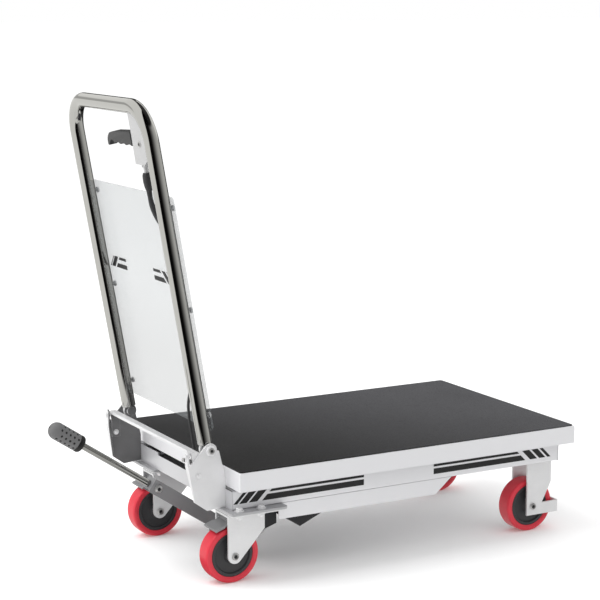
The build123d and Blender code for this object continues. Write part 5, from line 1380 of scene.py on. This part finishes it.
class CART_OT_stage(bpy.types.Operator):
    """Set the floor, the lights and the camera"""

    bl_idname = "cart.stage"
    bl_label = "Stage"

    def execute(self, context):
        self.make_floor(context.scene.cart_colours)
        self.make_lights(context.scene)
        self.make_camera(context.scene)
        return {"FINISHED"}

    def studio_walls(self, tree, towards):
        """What polished metal sees of the studio: a pale left, a dark flag by the camera, a slow slope.

        towards is the way from the handle. Angles are in radians, 0 at the camera and growing to its
        right, and each between() gives the two angles over which one form of the studio fades in."""
        to_camera = Vector((-CAMERA_AIM.x, -CAMERA_AIM.y, 0)).normalized()
        ahead = tree.dot(towards, to_camera)
        right = tree.dot(towards, Vector((-to_camera.y, to_camera.x, 0)))
        up = tree.dot(towards, UP)
        level = (ahead * ahead + right * right) ** 0.5
        angle = right.math("ARCTAN2", right, ahead)
        rise = up.math("ARCTAN2", up, level)
        left = 1 - angle.between(-0.62, -0.50)
        far_line = 1 - angle.between(-2.95, -2.91)
        band = rise.between(0.06, 0.12) * (1 - rise.between(0.26, 0.34))
        band *= 1 - angle.between(-1.9, -1.7)
        pale_wall = 0.95 * (1 - band * 0.45) * (1 - far_line * 0.95)
        slope = 0.004 + angle.between(0.05, 1.7) * 0.6
        far_edge = angle.between(2.2, 2.4) * (1 - rise.between(0.05, 0.2))
        far_end = angle.between(2.75, 2.9) * (1 - rise.between(0.35, 0.45))
        strip = angle.between(1.8, 2.0) * rise.between(0.05, 0.2) * (1 - far_end)
        high_flag = rise.between(0.6, 0.8)
        dark_wall = slope * (1 - far_edge * 0.9) * (1 - strip) + strip * 0.95
        dark_wall *= (1 - high_flag * 0.95) * (1 - far_end * 0.9)
        walls = left * pale_wall + (1 - left) * dark_wall
        ground = (1 - rise.between(-0.8, -0.65)) * rise.between(-1.3, -1.15)
        bright = walls * (1 - ground) + ground * 0.9
        return tree.node("ShaderNodeCombineColor", {}, {0: bright, 1: bright, 2: bright * 0.97}, 0)

    def make_floor(self, colours):
        """A plain pale floor, in whose place polished metal sees the studio's walls."""
        finish = Finish("studio_floor")
        handle_middle = handle_pivot + Vector((0, 0, 0.3))
        sockets = {0: finish.place, 1: handle_middle}
        towards = finish.node("ShaderNodeVectorMath", {"operation": "SUBTRACT"}, sockets, 0)
        walls = finish.node("ShaderNodeEmission", {}, {"Color": self.studio_walls(finish, towards)}, 0)
        material = finish.shade(
            Base_Color=tuple(colours.floor),
            Roughness=1.0,
            Specular_IOR_Level=0.0,
            Emission_Color=(1, 1, 1),
            Emission_Strength=0.1,
        )
        mirror_ray = finish.node("ShaderNodeLightPath", {}, {}, "Is Glossy Ray")
        surface = Value(finish, finish.surface.outputs[0])
        seen = finish.node("ShaderNodeMixShader", {}, {0: mirror_ray, 1: surface, 2: walls}, 0)
        finish.feed(finish.nodes["Material Output"].inputs["Surface"], seen)
        reach = 60.0
        data = bpy.data.meshes.new("floor")
        corners = [(-reach, -reach, 0), (reach, -reach, 0), (reach, reach, 0), (-reach, reach, 0)]
        data.from_pydata(corners, [], [(0, 1, 2, 3)])
        data.materials.append(material)
        floor = bpy.data.objects.new("floor", data)
        bpy.context.scene.collection.objects.link(floor)

    def make_lights(self, scene):
        world = bpy.data.worlds.new("studio")
        world.use_nodes = True
        sky = ShaderTree(world.node_tree)
        towards = sky.node("ShaderNodeTexCoord", {}, {}, "Generated")
        mirror_ray = sky.node("ShaderNodeLightPath", {}, {}, "Is Glossy Ray")
        camera_ray = sky.node("ShaderNodeLightPath", {}, {}, "Is Camera Ray")
        horizon, zenith = (0.62, 0.62, 0.62), (1.22, 1.22, 1.22)
        dome = sky.mix(sky.dot(towards, UP).between(0.0, 0.9), horizon, zenith)
        lit = sky.mix(mirror_ray, dome, self.studio_walls(sky, towards))
        sky.feed(sky.nodes["Background"].inputs["Color"], sky.mix(camera_ray, lit, (1, 1, 1)))
        scene.world = world
        self.add_light("top_softbox", (-1.6, 0.3, 2.9), (0.1, 0, 0.2), 2.2, 44)
        self.add_light("left_softbox", (-3.0, 1.2, 2.0), (0, 0, 0.3), 1.8, 20)
        scene.view_settings.view_transform = "Standard"

    def add_light(self, name, place, target, size, power):
        data = bpy.data.lights.new(name, "AREA")
        data.shape = "SQUARE"
        data.size = size
        data.energy = power
        light = bpy.data.objects.new(name, data)
        light.location = place
        light.rotation_mode = "QUATERNION"
        light.rotation_quaternion = (Vector(target) - Vector(place)).to_track_quat("-Z", "Y")
        light.visible_glossy = False
        bpy.context.scene.collection.objects.link(light)

    def make_camera(self, scene):
        data = bpy.data.cameras.new("photo_camera")
        data.lens = 106.02
        data.sensor_width = 36.0
        camera = bpy.data.objects.new("photo_camera", data)
        camera.location = CAMERA_PLACE
        camera.rotation_mode = "QUATERNION"
        camera.rotation_quaternion = CAMERA_AIM.to_track_quat("-Z", "Y")
        scene.collection.objects.link(camera)
        scene.camera = camera


class CART_PT_sidebar(bpy.types.Panel):
    """Lists the cart's pieces and settings in the sidebar"""

    bl_idname = "CART_PT_sidebar"
    bl_label = "Lift table cart"
    bl_space_type = "VIEW_3D"
    bl_region_type = "UI"
    bl_category = "Cart"

    def draw(self, context):
        for operator in OPERATORS:
            self.layout.operator(operator.bl_idname)
        for settings in SETTINGS:
            group = getattr(context.scene, settings)
            box = self.layout.box()
            box.label(text=group.bl_rna.description)
            for setting in group.__annotations__:
                box.prop(group, setting)


SETTINGS = {
    "cart_colours": CartColours,
    "cart_wheels": WheelSizes,
    "cart_grip": GripSizes,
    "cart_stripes": StripeSizes,
    "cart_bolts": BoltSizes,
}
OPERATORS = (
    CART_OT_stage,
    CART_OT_sheet_metal,
    CART_OT_hydraulics,
    CART_OT_casters,
    CART_OT_handle,
    CART_OT_release,
    CART_OT_pedal,
    CART_OT_fasteners,
    CART_OT_stripes,
)


def register():
    for settings in SETTINGS.values():
        bpy.utils.register_class(settings)
    for name, settings in SETTINGS.items():
        setattr(bpy.types.Scene, name, PointerProperty(type=settings))
    for operator in OPERATORS:
        bpy.utils.register_class(operator)
    bpy.utils.register_class(CART_PT_sidebar)


def unregister():
    bpy.utils.unregister_class(CART_PT_sidebar)
    for operator in reversed(OPERATORS):
        bpy.utils.unregister_class(operator)
    for name in SETTINGS:
        delattr(bpy.types.Scene, name)
    for settings in reversed(SETTINGS.values()):
        bpy.utils.unregister_class(settings)


def main():
    register()
    bpy.ops.cart.stage()
    bpy.ops.cart.sheet_metal()
    bpy.ops.cart.hydraulics()
    bpy.ops.cart.casters()
    bpy.ops.cart.handle()
    bpy.ops.cart.release()
    bpy.ops.cart.pedal()
    bpy.ops.cart.fasteners()
    bpy.ops.cart.stripes()


if __name__ == "__main__":
    main()
